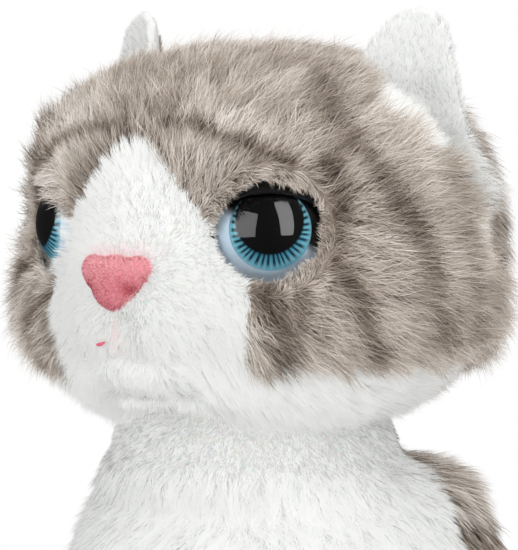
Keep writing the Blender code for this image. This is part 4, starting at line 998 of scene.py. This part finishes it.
def mouth_line():
    """A thin pink line between muzzle and chin."""
    pink = mat_plain("mouth_pink", srgb("#e0647c"), 0.7, 0.2)
    path = catmull(MOUTH, 10, False)
    along = unit(np.gradient(path, axis=0))
    across = unit(np.cross(along, UP))
    over = np.cross(along, across)
    radius = 0.55 * np.sin(np.linspace(0.05, np.pi - 0.05, len(path))) ** 0.5
    turn = np.linspace(0, 2 * np.pi, 16, endpoint=False)[None, :, None]
    points, faces = grid_mesh(path[:, None] + radius[:, None, None] * (
        np.cos(turn) * across[:, None] + np.sin(turn) * over[:, None]))
    make_piece("mouth_line", points, faces, "head", [pink])


nose_pad()
mouth_line()

# --- Ears

EAR_YAW = math.radians(30)
EAR_OUT = np.array([math.sin(EAR_YAW), -math.cos(EAR_YAW), 0])
EAR_SIDE = np.array([math.cos(EAR_YAW), math.sin(EAR_YAW), 0])
EAR_ORIGIN = np.array([52.0, 10.0, 240.0])
# outline of the left ear from its origin: across, up
EAR = [(-21.5, -14), (-21.0, -2), (-18.5, 11), (-13, 23.5), (-6.5, 31.8), (0.5, 35.6),
       (6.5, 34.0), (10.8, 28), (14.5, 14), (18.5, -1), (22.5, -18), (14, -28), (0, -26)]
EAR_MIDDLE = np.array([0.5, 5.0])
EAR_INNER_RINGS = 20                                    # rings beyond these are the white rim


def ear_points(across, up, out):
    """Points of the cupped left ear; the front also has a fold."""
    cup = 0.014 * across ** 2
    fold = -1.7 * hump(across - 6.0, 6.0, up - 8.0, 5.5) * (out > 1)
    points = EAR_ORIGIN + EAR_SIDE * across[..., None] + UP * up[..., None] + \
        EAR_OUT * (cup + out + fold)[..., None]
    points[..., 1] += 0.10 * np.maximum(up, 0)
    return points


ear_outline = catmull(EAR, 9)
ear_inner = len(ear_outline) * EAR_INNER_RINGS
ear_rings = np.linspace(0.01, 1, 26)[:, None]
ear_across, ear_up = np.moveaxis(
    EAR_MIDDLE + (ear_outline[None] - EAR_MIDDLE) * ear_rings[..., None], -1, 0)
ear_bulge = (1 - ear_rings ** 4) * np.ones((1, len(ear_outline)))
ear_edge = ear_points(ear_across[-1:], ear_up[-1:], np.full((1, len(ear_outline)), 2.0))

for side, flip in SIDES.items():
    surfaces = []
    for name, out, replaced, slot, colour, facing in (
            ("ear_front_", 3.4 + 2.0 * ear_bulge, "ear_lining_", "white_plush", WHITE_SKIN, 1),
            ("ear_back_", 0.6 - 1.6 * ear_bulge, "ear_", "tabby_plush", TABBY[5], -1)):
        sheet = np.concatenate([ear_points(ear_across, ear_up, out), ear_edge])
        points, faces = grid_mesh(sheet * flip)
        faces, normals = turn_out(points, faces, EAR_OUT * flip * facing)
        tint = np.array(colour) * np.ones((len(points), 1))
        tint[ear_inner:] = WHITE_SKIN
        make_piece(name + side, points, faces, "head", [skin_mat], (replaced + side,),
                   tint=tint)
        surfaces.append((points, faces, normals))
    front, back = surfaces

    # lining fur: short on the ear, long and loose at its base
    rng = np.random.default_rng(201 if side == "left" else 202)
    roots, normals = scatter(*front, 9.0, rng)
    up = roots[:, 2] - EAR_ORIGIN[2]
    nap = comb(normals, mix(np.array([0.15, -0.1, 1.0]) * flip,
                            np.array([0.9, 0.2, -0.25]) * flip, ease(6, -10, up)) +
               0.35 * noise3(roots, 10, 5))
    strands("fur_ear_lining_" + side, "head", "white_plush", "white", roots, normals, nap,
            2.8 + 8.5 * ease(4, -16, up), 0.62 + 0.05 * noise(roots, 6, 7), seed=203,
            lift=(1.0, 0.6), shade=(-0.08, 0.08), width=0.20, clump=2.2, wild=0.5, segs=3,
            pull=0.2, tone_var=0.07, soft=0.94)

    roots, normals = scatter(*back, 3.0, rng, (back[1].min(1) < ear_inner).astype(float))
    nap = comb(normals, np.array([0.0, 0.3, 1.0]) + 0.3 * noise3(roots, 12, 6))
    strands("fur_ear_back_" + side, "head", "tabby_plush", "tabby", roots, normals, nap,
            8.0 - 5.0 * ease(0, 30, roots[:, 2] - EAR_ORIGIN[2]), tabby_tone(roots) * 0.3 + 0.42,
            seed=204, lift=(0.5, 0.2), shade=(-0.20, 0.24), width=0.28, clump=4.0, wild=0.3)

# --- Torso

NECK_BALL = 46
# radius, height down the torso: the neck ball, then the body
torso_profile = [(NECK_BALL * math.cos(tilt), NECK[2] + NECK_BALL * math.sin(tilt))
                 for tilt in np.linspace(1.17, 0.24, 8)]
torso_profile += [(47.2, 134.0), (51.0, 127.5), (55.5, 119.0), (60.0, 107.0), (66.5, 88.0),
                  (71.0, 66.0), (74.0, 46.0), (74.5, 30.0), (71.0, 14.0), (66.0, 5.5), (63.0, 3.2)]
torso_profile = catmull(torso_profile, 10, False)


def torso_shift(z, facing):
    """How far the skin sits back at a height; facing is -1 in front, 1 behind."""
    rear = ease(-0.6, 0.8, facing)
    return (12.0 + (11.0 * rear - 2.0) * ease(50, 100, z)) * (1 - ease(122, 138, z))


def torso_white(points):
    wobble = 3.0 * noise(points, 16.0, 41)
    return ease(-2.0, 2.0, 15.0 + 13.0 * ease(60, 108, points[:, 2]) + wobble - points[:, 1])


def torso_tone(points):
    x, y, z = points.T
    warp = noise3(points, 30.0, 43)[:, 0]
    rings = 0.5 + 0.5 * np.cos(2 * np.pi * (z + 6 * warp + 0.12 * np.abs(x)) / 27.0)
    spine = np.exp(-(x / 8.0) ** 2) * (y > 20)
    tone = (0.92 - 0.66 * ease(0.50, 1.0, 1 - rings)) * (1 - 0.5 * spine)
    return np.clip(tone + 0.12 * noise(points, 6.0, 44), 0, 1)


def torso():
    turn = np.linspace(-np.pi, np.pi, 260, endpoint=False)[None]
    radius, height = torso_profile.T[..., None]
    grid = np.stack([radius * np.sin(turn), -radius * np.cos(turn), height + 0 * turn], -1)
    grid[..., 1] += torso_shift(grid[..., 2], -np.cos(turn))
    points, faces = grid_mesh(grid)
    faces, normals = turn_out(points, faces, points * np.array([1, 1, 0]))
    middles = points[faces].mean(1)
    white = torso_white(middles) > 0.5
    tint = mix(tabby_colour(torso_tone(points)), WHITE_SKIN, torso_white(points))
    for kind, keep, replaced in (("white", white, "belly_cover"), ("tabby", ~white, "back_cover")):
        part_points, part_faces, ids = submesh(points, faces, keep)
        make_piece("torso_skin_" + kind, part_points, part_faces, "torso",
                   [skin_mat], (replaced,), tint=tint[ids])

    for kind, keep, density, seed in (("white", white, 4.3, 301), ("tabby", ~white, 2.4, 302)):
        z = middles[:, 2]
        weight = keep * ease(3.0, 6.0, z) * (1 - ease(146, 156, z))
        roots, root_normals = scatter(points, faces, normals, density,
                                      np.random.default_rng(seed), weight)
        nap = comb(root_normals, np.array([0, 0, -1.0]) + 0.22 * noise3(roots, 28, 45))
        neck = ease(128, 140, roots[:, 2])
        if kind == "white":
            strands("fur_chest", "torso", "white_plush", kind, roots, root_normals, nap,
                    8.5 * (1 - neck) + 2.6 * neck, 0.66 + 0.05 * noise(roots, 8, 46), seed=seed,
                    lift=(0.85, 0.42), shade=(-0.07, 0.08), width=0.26, clump=3.0, wild=0.5,
                    segs=3, pull=0.25, tone_var=0.07, soft=0.95)
        else:
            strands("fur_back", "torso", "tabby_plush", kind, roots, root_normals, nap,
                    13.0 * (1 - neck) + 2.8 * neck, torso_tone(roots) * 0.62 + 0.20, seed=seed,
                    lift=(0.85, 0.36), shade=(-0.20, 0.26), width=0.32, clump=4.6, wild=0.32,
                    droop=0.15)


torso()

# --- Legs and tail

VOXEL = 1.5
TAIL_Y = 81                                             # root of the tail, on the middle line
# centre line of the tail from its root to its tip
TAIL = catmull([(0, 84, 26), (1, 104, 24), (18, 128, 19.5), (46, 139, 15.5), (74, 131, 14.5)],
               16, False)


def cad_surface(node):
    """Dense smooth copy of a node's surface, in mm: points, faces, normals."""
    source = bpy.data.objects[node]
    mesh = source.data.copy()
    mesh.transform(source.matrix_world)
    obj = bpy.data.objects.new("tmp_" + node, mesh)
    looks.objects.link(obj)
    weld = obj.modifiers.new("weld", 'WELD')
    weld.merge_threshold = 1e-6
    remesh = obj.modifiers.new("remesh", 'REMESH')
    remesh.mode = 'VOXEL'
    remesh.voxel_size = VOXEL * MM
    smooth = obj.modifiers.new("smooth", 'SMOOTH')
    smooth.factor = 0.5
    smooth.iterations = 10
    graph = bpy.context.evaluated_depsgraph_get()
    graph.update()
    evaluated = obj.evaluated_get(graph)
    dense = evaluated.to_mesh()
    points = np.empty(len(dense.vertices) * 3, np.float32)
    dense.vertices.foreach_get("co", points)
    points = points.reshape(-1, 3).astype(np.float64) / MM
    # a triangle repeats its last corner
    faces = np.array([list(p.vertices) + [p.vertices[-1]] * (4 - len(p.vertices))
                      for p in dense.polygons])
    evaluated.to_mesh_clear()
    bpy.data.objects.remove(obj)
    return points, faces, point_normals(points, faces)


def inside_torso(points, grow):
    x, y, z = points.T
    radius = np.interp(z, torso_profile[::-1, 1], torso_profile[::-1, 0])
    y = y - torso_shift(z, y / np.maximum(np.hypot(x, y), 1.0))
    return np.hypot(x, y) < radius + grow


def tail_station(points):
    return np.linalg.norm(points[:, None, :] - TAIL[None], axis=2).argmin(1)


def ring_tone(points, phase, seed):
    rings = 0.5 + 0.5 * np.cos(phase)
    return np.clip(0.80 - 0.62 * ease(0.5, 1.0, 1 - rings) + 0.12 * noise(points, 6.0, seed), 0, 1)


def tail_tone(points):
    phase = 2 * np.pi * tail_station(points) / 11.0 + 0.8 * noise(points, 14, 52)
    return ring_tone(points, phase, 53)


def leg_tone(points):
    warp = noise3(points, 26.0, 54)[:, 0]
    phase = 2 * np.pi * (points[:, 1] * 0.55 + points[:, 2] * 0.8 + 6 * warp) / 22.0
    return ring_tone(points, phase, 55)


def limb(index, node, body, kind):
    """Backing and fur of one leg or of the tail."""
    tail, hind = node == "tail_cover", "hind" in node
    slot = kind + "_plush"
    tone_at = tail_tone if tail else leg_tone
    points, faces, normals = cad_surface(node)
    points[:, 2] = np.maximum(points[:, 2], 0.25)
    tint = WHITE_SKIN
    if kind == "tabby":
        tint = tabby_colour(tone_at(points))
        if hind:                                        # white paws
            tint = mix(tint, WHITE_SKIN, ease(-34, -42, points[:, 1]))
    make_piece(node + "_skin", points, faces, body, [skin_mat], (node,), tint=tint)

    middles = points[faces].mean(1)
    weight = (middles[:, 2] > 1.2).astype(float)
    if tail:
        weight *= np.hypot(middles[:, 0], middles[:, 1] - TAIL_Y) > 8
    else:
        weight *= ~inside_torso(middles, 0.6)
    roots, normals = scatter(points, faces, normals, 4.5 if kind == "white" else 2.8,
                             np.random.default_rng(400 + index), weight)
    if tail:
        along = unit(np.gradient(TAIL, axis=0)[tail_station(roots)])
        flow = along + 0.25 * noise3(roots, 18, 56)
    elif hind:
        flow = np.array([0, -0.55, -0.75]) + 0.25 * noise3(roots, 24, 57)
    else:
        flow = np.array([0, -0.35, -1.0]) + 0.25 * noise3(roots, 24, 58)
    nap = comb(normals, flow)
    length = np.where(roots[:, 2] < 10, 5.5, 8.5)
    white = np.full(len(roots), kind == "white")
    if kind == "tabby":
        length = length + 2.5
    if hind:
        white = roots[:, 1] + 2 * noise(roots, 9, 59) < -38
        length = np.where(white, 6.5, length)
    for fur, chosen in (("white", white), ("tabby", ~white)):
        if chosen.sum() < 50:
            continue
        spots = roots[chosen]
        if fur == "white":
            tone = 0.80 + 0.06 * noise(spots, 8, 46)
            style = dict(seed=410 + index, lift=(0.85, 0.45), shade=(-0.15, 0.14), width=0.26,
                         clump=3.0, wild=0.35, segs=3, pull=0.3, soft=0.85)
        else:
            tone = tone_at(spots) * 0.60 + 0.18
            style = dict(seed=420 + index, lift=(0.80, 0.34), shade=(-0.20, 0.26), width=0.32,
                         clump=4.2, wild=0.32, droop=0.1)
        strands("fur_%s_%s" % (node, fur), body, slot, fur, spots, normals[chosen], nap[chosen],
                length[chosen], tone, **style)


for index, (node, body, kind) in enumerate((
        ("front_leg_left", "torso", "white"), ("front_leg_right", "torso", "white"),
        ("hind_leg_left", "torso", "tabby"), ("hind_leg_right", "torso", "tabby"),
        ("tail_cover", "tail", "tabby"))):
    limb(index, node, body, kind)

# --- Finishes of the moulded and metal parts

# finish: parts, colour, roughness, metallic
FINISHES = {
    "base_cloth": (["base_panel"], (0.52, 0.50, 0.48), 0.95, 0),
    "shell_plastic": (["skull_front", "skull_rear", "eye_bridge", "chassis_front",
                       "chassis_rear", "deck_plate", "base_plate", "battery_box",
                       "battery_door"], (0.62, 0.62, 0.60), 0.45, 0),
    "gear_plastic": (["neck_gear", "neck_yoke", "head_post", "turn_pinion", "tail_pinion",
                      "tail_arm", "blink_slider", "jaw_lever", "crown_button", "back_button"],
                     (0.80, 0.78, 0.72), 0.4, 0),
    "black_plastic": (["eyelid_left", "eyelid_right", "switch_body", "power_switch", "speaker"],
                      (0.012, 0.012, 0.013), 0.3, 0),
    "steel": (["jaw_pin", "nod_axle", "skull_screw_left", "skull_screw_right", "door_screw"],
              (0.55, 0.55, 0.56), 0.3, 1),
    "motor_steel": (["turn_motor", "tail_motor"], (0.42, 0.42, 0.44), 0.35, 1),
    "copper": (["blink_coil", "jaw_coil"], (0.62, 0.26, 0.10), 0.4, 1),
    "circuit": (["circuit_board", "crown_switch"], (0.02, 0.14, 0.06), 0.5, 0),
    "cell": (["battery_1", "battery_2"], (0.15, 0.17, 0.20), 0.35, 0),
    "pink_flock": (["tongue"], srgb("#d9607a"), 0.9, 0),
}
for finish, (parts, colour, rough, metallic) in FINISHES.items():
    material = mat_part(finish + "_look", colour, rough, metallic)
    for part in parts:
        obj = bpy.data.objects[part]
        if not len(obj.material_slots):
            obj.data.materials.append(material)
            continue
        for slot in obj.material_slots:
            slot.link = 'OBJECT'
            slot.material = material

# --- Camera, lamps and floor, in metres

scene = bpy.context.scene
CAMERA_TURN, CAMERA_TILT = math.radians(38), math.radians(3.0)  # to the cat's left, and up
CAMERA_DISTANCE = 1.1
VIEW_WIDTH = 0.1735                                     # width seen at the target
SENSOR = 36
FLOOR_RADIUS = 0.55
LAMP_AIM = Vector((0, 0, 0.2))
# name, direction (right, up, to the camera), distance, width, height, power
LAMPS = [
    ("soft_right", (0.520, 0.364, 0.774), 1.3, 0.68, 1.7, 10.5),
    ("soft_left", (-0.781, 0.150, 0.612), 1.3, 1.2, 1.1, 8.0),
    ("soft_top", (0.0, 1.0, -0.1), 1.2, 1.2, 1.2, 7.5),
    ("soft_back", (0.2, 0.5, -0.9), 1.4, 1.2, 0.9, 5),
    ("soft_low", (0.15, -0.12, 0.99), 1.1, 1.4, 0.12, 1.5),
]

back = Vector((math.sin(CAMERA_TURN) * math.cos(CAMERA_TILT),
               -math.cos(CAMERA_TURN) * math.cos(CAMERA_TILT), math.sin(CAMERA_TILT)))
right = Vector((math.cos(CAMERA_TURN), math.sin(CAMERA_TURN), 0))
up = back.cross(right)
lens = bpy.data.cameras.new("camera")
camera = bpy.data.objects.new("camera", lens)
scene.collection.objects.link(camera)
scene.camera = camera
lens.sensor_width = SENSOR
lens.lens = SENSOR * CAMERA_DISTANCE / VIEW_WIDTH
lens.clip_start = 0.01
camera.location = Vector((0, 0, 0.1935)) + right * 0.0013 + back * CAMERA_DISTANCE
camera.rotation_euler = (-back).to_track_quat('-Z', 'Y').to_euler()

for name, (to_right, to_up, to_camera), distance, width, height, power in LAMPS:
    direction = (right * to_right + up * to_up + back * to_camera).normalized()
    light = bpy.data.lights.new(name, 'AREA')
    light.shape = 'RECTANGLE'
    light.size, light.size_y = width, height
    light.energy = power
    lamp = bpy.data.objects.new(name, light)
    lamp.location = LAMP_AIM + direction * distance
    lamp.rotation_euler = direction.to_track_quat('Z', 'Y').to_euler()
    scene.collection.objects.link(lamp)
    lamp.visible_glossy = name != "soft_low"


def white_world():
    """White to the camera, dimmer as light and nearly black in reflections."""
    world = bpy.data.worlds.new("world")
    scene.world = world
    world.use_nodes = True
    tree = world.node_tree
    background = tree.nodes["Background"]
    background.inputs[0].default_value = (1, 1, 1, 1)
    rays = add_node(tree, "LightPath")
    seen = add_node(tree, "Mix")
    seen.inputs[2].default_value = 0.46                 # strength as light
    seen.inputs[3].default_value = 1.0                  # strength to the camera
    tree.links.new(rays.outputs["Is Camera Ray"], seen.inputs[0])
    mirrored = add_node(tree, "Mix")
    mirrored.inputs[3].default_value = 0.06             # strength in reflections
    tree.links.new(rays.outputs["Is Glossy Ray"], mirrored.inputs[0])
    tree.links.new(seen.outputs[0], mirrored.inputs[2])
    tree.links.new(mirrored.outputs[0], background.inputs[1])


white_world()
floor_mesh = bpy.data.meshes.new("floor")
floor_mesh.from_pydata([(FLOOR_RADIUS * math.cos(k * math.pi / 48),
                         FLOOR_RADIUS * math.sin(k * math.pi / 48), 0) for k in range(96)],
                       [], [tuple(range(96))])
floor = bpy.data.objects.new("floor", floor_mesh)
scene.collection.objects.link(floor)
floor_mesh.materials.append(mat_plain("floor_look", (0.82, 0.82, 0.82), 0.8, 0.2))
floor.visible_glossy = False

scene.view_settings.view_transform = 'Standard'
scene.view_settings.look = 'None'
scene.view_settings.exposure = 0.0
